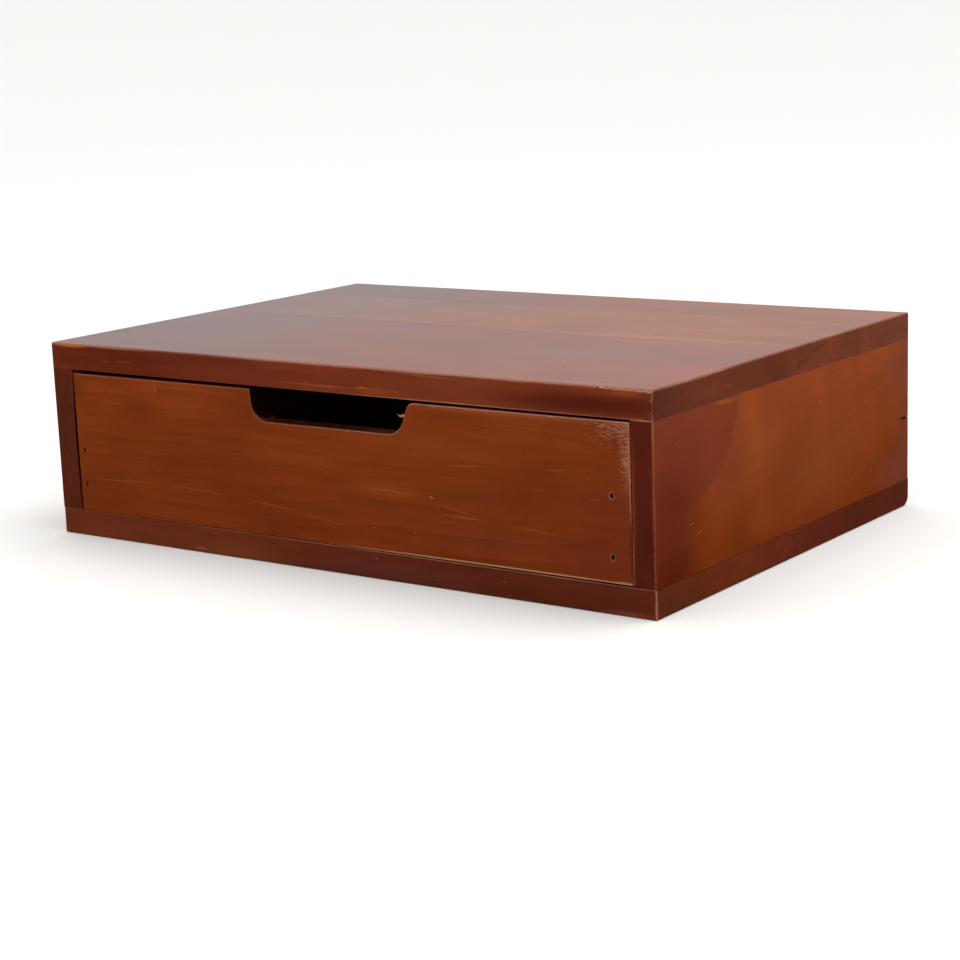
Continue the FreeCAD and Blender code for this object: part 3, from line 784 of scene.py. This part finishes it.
front_edge_marks = [
    stroke(on_front(-181, 99.2), on_front(-149, 99.5), 1.9, "#A85A28", 0.85, soft=0.7),
    stroke(on_front(-170, 99.6), on_front(-100, 99.8), 1.3, "#9A5228", 0.7, soft=0.7),
    stroke(on_front(-162, 99.6), on_front(-121, 99.8), 0.7, "#8F5A3C", 0.6, soft=0.7),
    *front_lines(
        (-145.6, 92.5, -137.6, 92.1, 0.6, "#8A4529", 0.4),
        (-135.6, 92.6, -121.7, 93, 0.6, "#8A4529", 0.4),
        (-105.8, 92.1, -92.8, 91.8, 0.6, "#7C3A26", 0.5),
        (-30.1, 90.2, 11.7, 89.2, 1.0, "#8F4A28", 0.4),
        (-4.2, 89.6, 16.7, 89.7, 0.5, "#A05C38", 0.4),
        (18.7, 90.3, 27.7, 90.3, 0.45, "#B5754C", 0.5),
        (39.7, 89.9, 46.6, 89.6, 0.4, "#A8653F", 0.4),
        (69.6, 89.5, 149.5, 88, 0.8, "#7A3A1E", 0.4)),
    spot(on_front(32.7, 89.4), (18, 3, 2.6), "#8C3C18", 0.45),
    spot(on_front(36.3, 98.1), (0.5, 2, 1.8), "#4A1A0A", 0.7),
    spot(on_front(74.6, 93.9), (55, 3, 6), "#743619", 0.35),
    stroke(on_front(43.6, 98.3), on_front(85.6, 97.8), 0.5, "#A06040", 0.4),
    spot(on_front(150, 91.8), (82, 4, 9), "#4A160A", 0.9, soft=0.95),
    spot(on_front(167, 97.8), (13, 3, 2.1), "#844016", 0.75, soft=1.0),
    stroke(on_front(169.4, 86.8), on_front(179.6, 86.75), 0.32, "#B07A66", 0.8),
    stroke(on_front(174, 87.45), on_front(179.8, 87.35), 0.35, "#2A0A04", 0.75),
    spot(on_front(152.6, 99.3), (0.9, 2, 1.0), "#2E1008", 0.8),
    *right_lines(
        (-121.6, 88.7, -110.5, 92.3, 0.4, "#75493A", 0.4),
        (-65.5, 91.1, -54.6, 92.1, 0.4, "#8A5A48", 0.5)),
]
print("marks on the lid before its chips:", len(lid_marks + left_arris + front_edge_marks))

# %% Chip and crush the right end
tears = random.Random(5)
NICKS = (
    # place along the front arris and depth
    (36.8, 0.9), (-116.5, 1.0), (-63, 0.6), (88, 0.6), (121, 0.7),
)


def uneven_run(source, start, pitch, count, stray):
    """Places in a row, each a little off its even pitch by a draw from the source."""
    for step in range(count):
        yield start + pitch * step + source.uniform(-stray, stray)


for x in uneven_run(tears, start=154.4, pitch=2.9, count=9, stray=1.4):
    chip = Vector((x, FRONT + 0.3, TOP - 0.3))
    size = (tears.uniform(0.6, 2.4), 0.8, tears.uniform(0.25, 0.55))
    front_edge_marks.append(spot(chip, size, "#C88C74", tears.uniform(0.4, 0.8), soft=0.7))
for step in range(12):
    chip = Vector((RIGHT - tears.uniform(0.6, 1.9), FRONT, 99 - tears.uniform(0, 10.5)))
    size = (tears.uniform(0.5, 1.1), 1, tears.uniform(0.2, 0.4))
    code = "#A06C58" if step % 2 else "#2A0C06"
    front_edge_marks.append(spot(chip, size, code, tears.uniform(0.4, 0.8), soft=0.6))
torn_arris = on_right(-130, TOP - 0.3), on_right(-50, TOP - 0.3)
front_edge_marks.append(stroke(*torn_arris, 1.0, "#B88A76", 0.75, soft=0.6, broken=(0.48, 0.58)))


def crush_right_end(mesh):
    """Crushes the front arris at the right, nicks it elsewhere and tears the end grain's edges."""
    refine(mesh, (166, FRONT, TOP), (14.5, 3.2, 3.2), pitch=0.9)
    for x in uneven_run(tears, start=153.4, pitch=1.8, count=15, stray=0.5):
        size = (tears.uniform(1.4, 2.6), tears.uniform(1.2, 2.0), tears.uniform(1.2, 2.0))
        gouge(mesh, (x, FRONT - 0.5, TOP + 0.5), size)
    for x, deep in NICKS:
        refine(mesh, (x, FRONT, TOP), (3, 2, 2), pitch=0.7)
        gouge(mesh, (x, FRONT - 0.3, TOP + 0.3), (deep * 1.6, deep + 0.4, deep + 0.4))
    refine(mesh, (RIGHT, -103, TOP), (1.4, 20, 1.4), pitch=0.5)
    for y in uneven_run(tears, start=-120.5, pitch=1.85, count=20, stray=0.4):
        gouge(mesh, (RIGHT + 0.25, y, TOP + 0.25), (0.9, tears.uniform(0.4, 0.8), tears.uniform(0.8, 1.3)))
    refine(mesh, (RIGHT, FRONT, 92.5), (1.6, 1.6, 6.5), pitch=0.5)
    for z in uneven_run(tears, start=88.2, pitch=1.25, count=9, stray=0.2):
        gouge(mesh, (RIGHT - 0.6, FRONT - 0.25, z), (1.1, 0.8, tears.uniform(0.35, 0.55)))


print("nicks in the front arris, and marks with the chips:", len(NICKS), len(front_edge_marks))

# %% Dress the three staves of the lid
LID_FILM = (1.0, 0.8, 0, -150, 60)
lid_lacquer = dict(cloud=0.16, streak=0.08, fibre=0.07, worn="#A06A50", film=LID_FILM)
front_arris_rub = (
    (-180, 1.6), (-146, 0.8), (-130, 0.35), (-104, 0.35), (-88, 0.6), (0, 1.0), (42, 1.5), (120, 1.1),
    (150, 1.0), (160, 1.4))
dress_board(
    "top_front_stave", "case",
    look_of(
        seed=1, heart=(0, -60, 20), ring=8.5, band=0.07, **lid_lacquer,
        face=("#62241A", "#86422B", 0, -180, 110), edge=("#612512", "#6F3019", 0, -110, 60),
        end=("#562B1E", "#64301F", 1, -120, -60)),
    arrises=[
        ("front upper", 1.2, 0.5, front_arris_rub), ("right upper", 0.5, 0.2, 0.45),
        ("left upper", 1.0, 0.3, 0), ("front left", 1.0, 0.3, 0), ("front right", 0.7, 0.3, 0.8),
        ("front under", 0.3, 0.1, ((-180, 0), (10, 0.15), (25, 0.5), (60, 0.6), (100, 0.9), (180, 0.9))),
        ("right under", 0.15, 0.05, 0), ("rear upper", 0.2, 0.08, 0)],
    marks=lid_marks + left_arris + front_edge_marks, carve=crush_right_end)
dress_board(
    "top_middle_stave", "case",
    look_of(
        seed=2, heart=(0, 32, 14), ring=6.5, band=0.09, **lid_lacquer,
        face=("#6A2A1E", "#8A4618", 0, -180, 90), edge=even("#5F2816"),
        end=("#6D3622", "#6F3926", 1, 0, 79)),
    arrises=[
        ("right upper", 0.45, 0.2, 0.4), ("left upper", 1.0, 0.3, 0), ("right under", 0.15, 0.05, 0),
        ("front upper", 0.2, 0.08, 0), ("rear upper", 0.15, 0.05, 0)],
    marks=joint_marks + left_arris + right_lines(
        (-0.6, 87.6, 14.4, 94.7, 1.4, "#4A2218", 0.6),
        (14.4, 94.7, 32.4, 97.5, 1.2, "#4A2218", 0.5)))
dress_board(
    "top_rear_stave", "case",
    look_of(
        seed=3, heart=(0, 96, 190), **lid_lacquer,
        face=("#632419", "#87421A", 0, -180, 110), edge=even("#5F2816"), end=even("#6A3929")),
    arrises=[
        ("right upper", 0.45, 0.2, 0.4), ("left upper", 1.0, 0.3, 0), ("right under", 0.15, 0.05, 0),
        ("front upper", 0.15, 0.05, 0), ("rear upper", 1.2, 0.3, 0.3)],
    marks=left_arris)

# %% [markdown]
# The squeezed-out glue is a bead along the joint, half round, thicker in some places and gone in
# others. It lies in the little groove between the two worn edges.

# %% Run a bead of glue along the joint
BEAD_START, BEAD_END = -10.0, 162.0
BEAD_TAPER = 20
BEAD_POINTS = 7
BEAD_FOOT = TOP - 0.42
BEAD_HEIGHT = 0.40
BEAD_PITCH = 2.0
bead = bmesh.new()
arcs = []
for number in range(int((BEAD_END - BEAD_START) / BEAD_PITCH) + 1):
    x = BEAD_START + number * BEAD_PITCH
    swell = min(1.0, (x - BEAD_START) / BEAD_TAPER, (BEAD_END - x) / BEAD_TAPER)
    half = 0.45 * swell * (1 + 0.5 * wander(x, 4.4)) + 0.04
    arc = []
    for step in range(BEAD_POINTS):
        bend = math.pi * step / (BEAD_POINTS - 1)
        height = BEAD_FOOT + BEAD_HEIGHT * math.sin(bend)
        arc.append(bead.verts.new(Vector((x, half * math.cos(bend), height)) * MM))
    arcs.append(arc)
close_tube(bead, arcs)
glue = stained_wood(
    "glue_line_under_lacquer",
    look_of(seed=12, **all_round("#A86C50", "#B97A5C"), rub=0.0, film=LID_FILM))
finish_piece("glue_bead", bead, "case", glue)

# %% [markdown]
# ## The bottom
#
# It has the same three staves, stained darker, with the steps between staves plain to see in the
# end grain on the right.

# %% Dress the bottom
bottom_marks = [
    *front_clouds(
        (-59.9, 3.2, 46, 8, "#7B3F22", 0.5),
        (-149.5, 10.3, 26, 7, "#5A2413", 0.4),
        (-176, 8, 16, 10, "#4C1E0E", 0.4)),
    spot(on_front(27.6, 9.9), (0.5, 1, 0.35), "#B88870", 0.8, soft=0.5),
    spot(on_front(63.6, 4), (0.4, 1, 0.35), "#9A6A54", 0.7, soft=0.5),
    spot(on_front(100.5, 7.4), (1.2, 1, 0.3), "#8A5A48", 0.6, soft=0.5),
    stroke(on_front(-90, 2.3), on_front(-77, 2.1), 0.8, "#A05426", 0.7),
    spot(on_front(40, 4), (75, 4, 9), "#583230", 0.3, soft=1.0),
    spot(on_front(166, 1), (22, 4, 2.4), "#8E4628", 0.55, soft=1.0),
]
dress_board(
    "bottom_front_stave", "case",
    look_of(
        seed=4, heart=(0, -70, 40), ring=7.0, band=0.06, worn="#A87260",
        face=("#612B1A", "#54251A", *ALL_X), edge=("#6B2F19", "#592413", 0, -120, 60),
        end=("#5A2816", "#652B14", 1, -110, -60)),
    arrises=[
        ("front under", 1.0, 0.4, 0.5), ("right under", 0.8, 0.3, 0.3), ("left under", 1.6, 0.3, 0.6),
        ("front right", 0.5, 0.2, 0.8), ("front left", 1.5, 0.3, 0.7),
        # The pale rub along the front upper arris is partly wear and partly painted light, which lifts the
        # shade of the gap under the drawer front.
        ("front upper", 0.25, 0.1, ((-180, 0), (-60, 0.25), (130, 0.4), (180, 0.3)))],
    marks=bottom_marks)
dress_board(
    "bottom_middle_stave", "case",
    look_of(
        seed=5, heart=(0, 8, -40), face=even("#5C2819"), edge=even("#5C2819"),
        end=("#622818", "#5B2617", 1, -30, 48)),
    arrises=[("right under", 0.8, 0.3, 0.3), ("left under", 1.0, 0.3, 0.6)])
dress_board(
    "bottom_rear_stave", "case",
    look_of(
        seed=6, heart=(0, 90, 60), face=even("#522318"), edge=even("#522318"), end=even("#562517")),
    arrises=[
        ("right under", 0.8, 0.3, 0.3), ("left under", 1.0, 0.3, 0.6), ("rear right", 1.0, 0.3, 0.9),
        ("rear left", 1.0, 0.3, 0.9), ("rear under", 5.6, 0.5, 1.0)])

# %% [markdown]
# ## The sides and the back
#
# The grain of the sides runs from front to back, so their front ends are end grain, dark and flat.
# The upright boards are painted lighter toward the top, as painted light from above. The right side
# has a darker patch at its front, with a boundary that is sharp near the top and soft lower down, a
# few scratches, a painted orange highlight under the lid, and a crack at the rear, where a brad was
# driven too near the end, with painted shade in and round its opening. A crack closes with depth,
# so its walls are squeezed together inside.

# %% Mark the right side and close its crack
CRACK_LEVEL = 46.3
CRACK_DEPTH = 2.5
CRACK_START = 108
CRACK_REACH = 2.2
OPEN_OUTSIDE, OPEN_INSIDE = 0.35, 0.04


def close_crack(mesh):
    """Squeezes the crack's walls together as it goes into the board."""
    refine(mesh, (RIGHT - 5.5, 119, CRACK_LEVEL), (6, 7, 2.5), pitch=1.2)
    for vert in mesh.verts:
        here = vert.co / MM
        if here.y > CRACK_START and abs(here.z - CRACK_LEVEL) < CRACK_REACH:
            open_share = max(OPEN_INSIDE, OPEN_OUTSIDE * (1 - (RIGHT - here.x) / CRACK_DEPTH))
            vert.co.z = (CRACK_LEVEL + (here.z - CRACK_LEVEL) * open_share) * MM


right_marks = [
    spot(on_right(-100, 95), (SKIN, 52, 54), "#62261E", 0.5, soft=0.1),
    spot(on_right(-118, 30), (SKIN, 34, 40), "#62241A", 0.45, soft=0.6),
    *right_clouds(
        (-109, 36, 34, 52, "#4E1609", 0.45),
        (-60, 54, 28, 24, "#6A3020", 0.5),
        (-32, 24, 26, 13, "#8E441C", 0.35),
        (-114, 14, 38, 20, "#471004", 0.6),
        (25, 38, 65, 30, "#8E5030", 0.22),
        (112, 20, 40, 24, "#6C3E34", 0.4),
        (108, 74, 24, 26, "#6C3E34", 0.35),
        (-36, 74, 12, 22, "#92481C", 0.3)),
    *right_lines(
        # The first stroke, orange along the joint under the lid, is a painted highlight; the short pale
        # ones are scratches.
        (-77, 85.8, -48, 84.6, 1.7, "#96501F", 0.65),
        (-97.3, 35.8, -92.1, 36.5, 0.35, "#9E6244", 0.5),
        (-90.6, 30.3, -83.6, 31.9, 0.35, "#9E6244", 0.5),
        (-51.6, 21.7, -48.8, 23.5, 0.35, "#9A6044", 0.6),
        (-25, 31.6, -20.2, 32.5, 0.35, "#9A6044", 0.6),
        (-25.6, 44.3, -22.6, 45.3, 0.35, "#9A6044", 0.5)),
    spot(on_right(56.8, 58.7), (1, 0.7, 0.4), "#A87A60", 0.7, soft=0.5),
    spot(on_right(27.3, 69.6), (1, 0.4, 0.6), "#A87A60", 0.6, soft=0.5),
    spot(on_right(82.1, 27), (1, 0.7, 0.4), "#A87A60", 0.6, soft=0.5),
    spot(on_right(120.2, 50.3), (6, 16, 60), "#6C3A2A", 0.45, soft=0.9),
    spot(on_right(-31.6, 52.2), (SKIN, 26, 30), "#8E471F", 0.25, soft=1.0),
    # Dark in and round the crack: painted shade in its opening.
    spot(on_right(119, CRACK_LEVEL), (9, 6.5, 1.0), "#3A160A", 0.9, soft=0.6),
]
right_marks += [
    # The first stroke is a black line at the drawer front's lower right corner: painted shadow in the gap
    # there.
    stroke(on_front(166, 14.1), on_front(173.6, 13.6), 0.4, "#140400", 0.9),
    stroke(on_front(169.4, 8), on_front(169.4, 92), 1.5, "#742F12", 0.7, soft=1.0),
    stroke(on_front(179, 8), on_front(179, 92), 1.5, "#66270D", 0.6, soft=1.0),
]
brush = random.Random(3)
for _ in range(9):
    start = on_right(brush.uniform(-118, -62), brush.uniform(58, 80))
    sweep = Vector((0, brush.uniform(4, 9), brush.uniform(2, 6)))
    right_marks.append(stroke(start, start + sweep, 0.7, "#8A4632", brush.uniform(0.15, 0.3)))
for y in range(-118, 110, 12):
    stain = on_right(y + brush.uniform(-4, 4), 86.4 + brush.uniform(-0.3, 0.3))
    size = (SKIN, brush.uniform(3, 7), brush.uniform(0.5, 1.1))
    right_marks.append(spot(stain, size, "#5A2A20", brush.uniform(0.2, 0.5), soft=1.0))
print("marks on the right side:", len(right_marks))

# %% Dress the sides and the back
# A near-black stroke down the left side's inner face, beside the drawer front, is painted shadow in the
# gap between them.
painted_gap_shadow = Vector((-167, -123, 6)), Vector((-167, -123, 94))
dress_board(
    "left_side", "case",
    look_of(
        seed=7, grain=1, edge_axis=2, heart=(-120, 0, 60), ring=7.0,
        face=("#6E3015", "#7C3B1E", *PAINTED_LIGHT_RISE), edge=even("#5F2816"), end=even("#522213")),
    arrises=[
        ("front left", 1.0, 0.3, 0.8), ("front right", 0.25, 0.1, 0), ("left upper", 0.2, 0.08, 0.2),
        ("left under", 0.2, 0.08, 0.2), ("front upper", 0.15, 0.05, 0), ("front under", 0.15, 0.05, 0),
        ("rear left", 1.0, 0.3, 0.4)],
    marks=[stroke(*painted_gap_shadow, 2.2, "#140400", 0.95, soft=0.5, dull=0.8)])
dress_board(
    "right_side", "case",
    look_of(
        seed=8, grain=1, edge_axis=2, slope=(math.radians(-13), 0, 0), heart=(230, 0, 30), ring=14.0,
        cloud=0.14, streak=0.05, fibre=0.06, band=0.03, ripple=0.03, worn="#B87050", rub=0.85,
        face=("#73300C", "#863E1C", *PAINTED_LIGHT_RISE), edge=even("#5F2816"), end=("#4A190C", "#561D10", *PAINTED_LIGHT_RISE)),
    arrises=[
        ("front right", 0.5, 0.2, ((14, 0.75), (60, 0.85), (86, 0.95))),
        ("front left", 0.3, 0.1, ((14, 0.6), (36, 0.6), (46, 0))), ("right upper", 0.2, 0.08, 0),
        ("right under", 0.2, 0.08, 0), ("front upper", 0.35, 0.12, 0.5), ("front under", 0.2, 0.08, 0),
        ("rear right", 1.0, 0.2, 0.9)],
    marks=right_marks, carve=close_crack)
dress_board(
    "back_board", "case",
    look_of(
        seed=9, edge_axis=2, heart=(0, 60, 140), ring=8.0, face=("#6E3015", "#7C3B1E", *PAINTED_LIGHT_RISE),
        edge=even("#5F2816"), end=even("#4F2218")),
    arrises=[("rear upper", 0.2, 0.08, 0), ("rear under", 0.2, 0.08, 0)])

# %% [markdown]
# ## The drawer front
#
# This board is the brightest of all, with wide wavy bands. Its arrises and the cut-out's are rubbed,
# hardly at the left and pale toward the right. At the top right corner the lacquer is scuffed where
# fingers missed the cut-out, and that corner also carries a painted highlight. The brads at the right
# end were driven in too hard and left dented rings, with painted shade in their holes, and the walls
# of the cut-out are painted nearly black, its floor dark brown, as painted shade in the recess.

# %% Mark the drawer front
right_brads = ((158.4, 52.8), (158.3, 25.6))
left_brads = ((-160.8, 45.4), (-160.6, 27.9))
front_marks = [
    *front_lines(
        (-164.4, 30.4, -105.7, 32.4, 0.5, "#95501F", 0.45),
        (-111.7, 32.8, -53, 30.5, 0.5, "#95501F", 0.4),
        (-57, 31, -15.1, 27.1, 0.5, "#95501F", 0.4),
        (-19.1, 27.5, 11.8, 23.6, 0.5, "#95501F", 0.35),
        (15.7, 43.9, 63.6, 42.2, 0.55, "#95501F", 0.4),
        (57.6, 40.5, 89.5, 35.5, 0.6, "#95501F", 0.35),
        (63.6, 35.3, 95.5, 34.5, 0.9, "#9C4E1A", 0.5),
        (95.5, 34.3, 139.5, 31.8, 0.6, "#8F4A1E", 0.4),
        (67.6, 57.9, 98.5, 59.8, 0.45, "#9A5A3C", 0.4),
        (122.5, 60.8, 136.5, 61.8, 0.5, "#9A5C28", 0.4),
        (145.5, 49.6, 155.5, 50.4, 0.5, "#9A5C28", 0.4),
        (-159.5, 71.4, -109.7, 70.7, 0.6, "#8F4A20", 0.35)),
    *front_clouds(
        (-118, 69, 24, 11, "#551D0A", 0.5),
        (-166, 78, 13, 11, "#551D0A", 0.4),
        (-10, 65, 42, 12, "#551D0A", 0.25),
        (34, 44, 34, 6, "#964A18", 0.3),
        (94, 27, 48, 10, "#5A2C20", 0.25)),
    stroke(on_front(-109.3, 84), on_front(-106.2, 77.1), 1.0, "#8E4618", 0.6),
    stroke(on_front(-107.4, 83.5), on_front(-103.8, 76.1), 1.6, "#5F230C", 0.55),
    spot(on_front(-99.8, 80), (10, 4, 5), "#652608", 0.3, soft=1.0),
    spot(on_front(-124.6, 44.2), (2.4, 2, 2.0), "#54200C", 0.6),
    spot(on_front(-124.6, 44.2), (0.8, 2, 0.7), "#9A5A34", 0.8),
    *front_clouds(
        (-119.7, 30.2, 40, 10, "#7E360F", 0.3),
        (-48, 74, 32, 15, "#5E2410", 0.4),
        (59.6, 65.9, 70, 12, "#84400F", 0.25),
        (149.5, 23.8, 40, 22, "#602412", 0.5),
        (104.5, 44.9, 26, 9, "#65260E", 0.3),
        (155, 46, 30, 15, "#5C2210", 0.5)),
    spot(on_front(-125.3, 19.6), (0.4, 1, 0.5), "#A87550", 0.4, soft=0.5),
    spot(on_front(51.3, 25), (0.4, 1, 0.4), "#B88560", 0.5, soft=0.5),
    stroke(on_front(60.6, 42.9), on_front(62.4, 41.9), 0.35, "#C09070", 0.8),
    spot(on_front(27.4, 24.7), (0.5, 1, 0.35), "#B88560", 0.45, soft=0.5),
    # A dark strip down the lower right end is painted shade at the joint with the right side.
    spot(on_front(168.3, 28), (1.7, 4, 21), "#58200C", 0.92, soft=0.5),
    # The soft pale spots at the top right corner are a painted highlight; the broken flecks and short
    # strokes over them are scuffs in the lacquer, the pale ones partly painted sheen.
    spot(on_front(168, 85), (17, 4, 11), "#A07058", 0.35, soft=1.0),
    spot(on_front(169, 72), (7, 4, 22), "#9A6650", 0.45, soft=1.0),
    spot(on_front(163, 77), (17, 4, 15), "#4A1C10", 0.45, soft=0.9, broken=(0.46, 0.38)),
    spot(on_front(160, 81), (21, 4, 10), "#B07A64", 0.42, soft=0.9, broken=(0.5, 0.66)),
    spot(on_front(168, 70), (7, 4, 22), "#B07A64", 0.5, soft=0.9, broken=(0.48, 0.62)),
    *front_lines(
        (151.5, 82.3, 157.5, 84.4, 0.5, "#B07A60", 0.6),
        (147.5, 84.6, 150.5, 85, 0.4, "#B07A60", 0.5),
        (162.8, 76.4, 167.6, 78.2, 0.4, "#4A1C10", 0.6)),
    # The pale line along the lower arris is worn stain and also painted light, on an arris that lies in
    # the shade of the gap.
    stroke(on_front(-15, 13.9), on_front(215, 14.4), 1.0, "#AC7854", 0.82, soft=0.5),
    stroke(on_front(20, 85.3), on_front(190, 85.6), 3.2, "#98583A", 0.45, soft=1.0),
    spot(on_front(164, 14.6), (7, 2, 1.1), "#A87258", 0.7),
    # The next four spots are painted shade in the cut-out: its walls nearly black with the lacquer dulled,
    # its floor dark brown.
    spot(Vector((-45, FRONT + 6.1, 79)), (7, 6, 18), "#0E0402", 0.97, soft=0.1, dull=0.8),
    spot(Vector((48, FRONT + 6.1, 79)), (6, 6, 18), "#0E0402", 0.97, soft=0.1, dull=0.8),
    spot(Vector((-8, FRONT + 5, 70)), (46, 5.5, 1.6), "#38201A", 0.9, soft=0.5),
    spot(Vector((36, FRONT + 4, 70)), (20, 6, 1.6), "#5C362E", 0.9, soft=0.7),
]
# Each right brad has a pale dented ring and a near-black core, and each left brad a dark spot; the dark
# cores are painted shade in the holes.
for x, z in right_brads:
    front_marks += [
        spot(on_front(x, z), (1.85, 2, 2.2), "#8A5A40", 0.7, soft=0.4),
        spot(on_front(x, z), (1.2, 2, 1.6), "#1A0500", 0.97, soft=0.3),
    ]
front_marks += [spot(on_front(x, z), (1.2, 2, 1.7), "#451508", 0.75) for x, z in left_brads]
print("marks on the drawer front:", len(front_marks))

# %% Dent and dress the drawer front
FALL_TO_LEFT = 0.7


def dent_drawer_front(mesh):
    """Dents round the right brads, and small knocks along the upper arris, which falls to the left."""
    for x, z in right_brads:
        refine(mesh, (x, FRONT, z), (2.6, 1, 3.0), pitch=0.5)
        gouge(mesh, (x, FRONT - 0.7, z), (1.9, 1.05, 2.3))
    low, high = (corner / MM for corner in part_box("drawer_front"))
    knocks = random.Random(8)
    for x in uneven_run(knocks, start=low.x + 16, pitch=36, count=9, stray=12):
        z = high.z - FALL_TO_LEFT * (high.x - x) / (high.x - low.x)
        refine(mesh, (x, FRONT, z), (1.8, 1.2, 1.4), pitch=0.7)
        gouge(mesh, (x, FRONT - 0.2, z), (knocks.uniform(0.8, 1.8), 0.7, knocks.uniform(0.6, 0.9)))


dress_board(
    "drawer_front", "drawer",
    look_of(
        seed=10, edge_axis=2, heart=(0, -40, -170), ring=9.0, wave=26.0, band=0.12, cloud=0.14,
        streak=0.11, pores=0.04, rim=(0.15, 1.0, 0, -40, 70), worn="#B07A64",
        face=("#6E2D0C", "#79330E", 2, 22, 72), edge=even("#6A2C12"), end=even("#642812")),
    marks=front_marks, carve=dent_drawer_front)

# %% [markdown]
# One sliver stands up from the right wall of the cut-out, where a fibre was torn and the stain and
# lacquer went over it.

# %% Raise a sliver in the cut-out
SLIVER = (
    # x, y, z and thickness in mm
    (48.2, -123.6, 78.6, 1.0),
    (46.4, -123.8, 78.9, 0.7),
    (44.8, -124.0, 78.5, 0.45),
    (43.2, -124.1, 79.3, 0.08),
)
SLIVER_POINTS = 6
thorn = bmesh.new()
loops = []
for x, y, z, thick in SLIVER:
    loop = []
    for step in range(SLIVER_POINTS):
        bend = math.tau * step / SLIVER_POINTS
        ring_place = Vector((x, y + 0.7 * thick * math.cos(bend), z + thick * math.sin(bend)))
        loop.append(thorn.verts.new(ring_place * MM))
    loops.append(loop)
close_tube(thorn, loops)
raw_wood = stained_wood(
    "torn_fibre_under_lacquer", look_of(seed=13, **all_round("#A87858", "#A87858"), rub=0.0))
finish_piece("cutout_sliver", thorn, "drawer", raw_wood)

# %% [markdown]
# ## The drawer behind its front
#
# The box of the drawer shows only when it is open. Its boards got one thin coat of the same stain
# and hardly any lacquer, so they are paler and matt, with more pores. The bottom is thin plywood,
# whose rotary-cut face has wide, wild bands.

# %% Dress the drawer box
BOX_PITCH = (8.0, 8.0, 6.0)
BOX_BOARDS = (
    # node, grain axis and heart of the tree
    ("drawer_left_side", 1, (-160, 0, -60)),
    ("drawer_right_side", 1, (160, 0, -60)),
    ("drawer_back", 0, (0, 104, -70)),
)
for number, (node, grain, heart) in enumerate(BOX_BOARDS):
    dress_board(
        node, "drawer",
        look_of(
            seed=20 + number, grain=grain, edge_axis=2, heart=heart, ring=7.0, band=0.16, pores=0.1,
            face=("#8C5130", "#935836", *ALL_X), edge=even("#89502F"), end=even("#6E3A20"),
            film=even(0.15)),
        arrises=[
            ("left upper", 0.5, 0.2, 0), ("right upper", 0.5, 0.2, 0), ("front upper", 0.5, 0.2, 0),
            ("rear upper", 0.5, 0.2, 0)],
        pitch=BOX_PITCH)
dress_board(
    "drawer_bottom", "drawer",
    look_of(
        seed=24, heart=(0, 30, -90), ring=11.0, wave=90.0, band=0.2, pores=0.08, fibre=0.07,
        face=("#9A6540", "#A06A44", *ALL_X), edge=even("#7A4A2C"), end=even("#7A4A2C"),
        film=even(0.05)),
    pitch=BOX_PITCH)

# %% [markdown]
# ## Brads and filler
#
# Brads are cut from drawn wire, so their steel has fine lines along the wire and a dull grey film.
# The heads were stained over with the wood, which left them nearly black-brown, with bare steel in
# a few patches. The filler over the brads of the lid was stained with the wood and nearly vanishes,
# except in one hole near the left end, where it took the stain dark.

# %% Make brad steel
steel, wire = empty_material("drawn_steel_wire")
LINES_PER_METRE = (9000, 9000, 300)
PATCHES_PER_METRE = 900.0
spot_on_wire = put(wire, "TexCoord").outputs["Object"]
lines = put(wire, "VectorMath", [spot_on_wire, LINES_PER_METRE], operation="MULTIPLY")
drawn = put(wire, "TexNoise", {"Vector": lines, "Scale": 1.0, "Detail": 2.0})
patches = put(wire, "TexNoise", {"Vector": spot_on_wire, "Scale": PATCHES_PER_METRE, "Detail": 3.0})
stained = put(wire, "MapRange", {"Value": patches, "From Min": 0.22, "From Max": 0.36})
grey = put(wire, "Mix", {"Factor": drawn, "A": tone("#5A524C"), "B": tone("#7A7068")}, data_type="RGBA")
shade = put(wire, "Mix", {"Factor": stained, "A": grey, "B": tone("#220D06")}, data_type="RGBA")
bare = put(wire, "Math", [1.0, stained], operation="SUBTRACT")
dullness = put(wire, "MapRange", {"Value": stained, "To Min": 0.42, "To Max": 0.85})
scored = put(wire, "Bump", {"Height": drawn, "Strength": 0.4, "Distance": 0.01 * MM})
metal = put(
    wire, "BsdfPrincipled",
    {"Base Color": shade, "Metallic": bare, "Roughness": dullness, "Normal": scored})
put(wire, "OutputMaterial", {"Surface": metal})
print("drawn lines across a millimetre of wire:", round(LINES_PER_METRE[0] * MM, 1))

# %% Give out the steel and the filler
filler = stained_wood(
    "stained_wood_filler",
    look_of(
        seed=30, **all_round("#5A2116", "#7C3C28"), pores=0.2, fibre=0.1, band=0.0, rub=0.0,
        film=LID_FILM),
    [spot(on_top(-173.2, -84.7), (5, 5, 3), "#2E1A16", 0.9, soft=0.3, dull=0.4)])

for node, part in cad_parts.items():
    for ending, material in (("brads", steel), ("fillings", filler)):
        if node.endswith(ending):
            part.data.materials.clear()
            part.data.materials.append(material)
            print(node, "got", material.name)
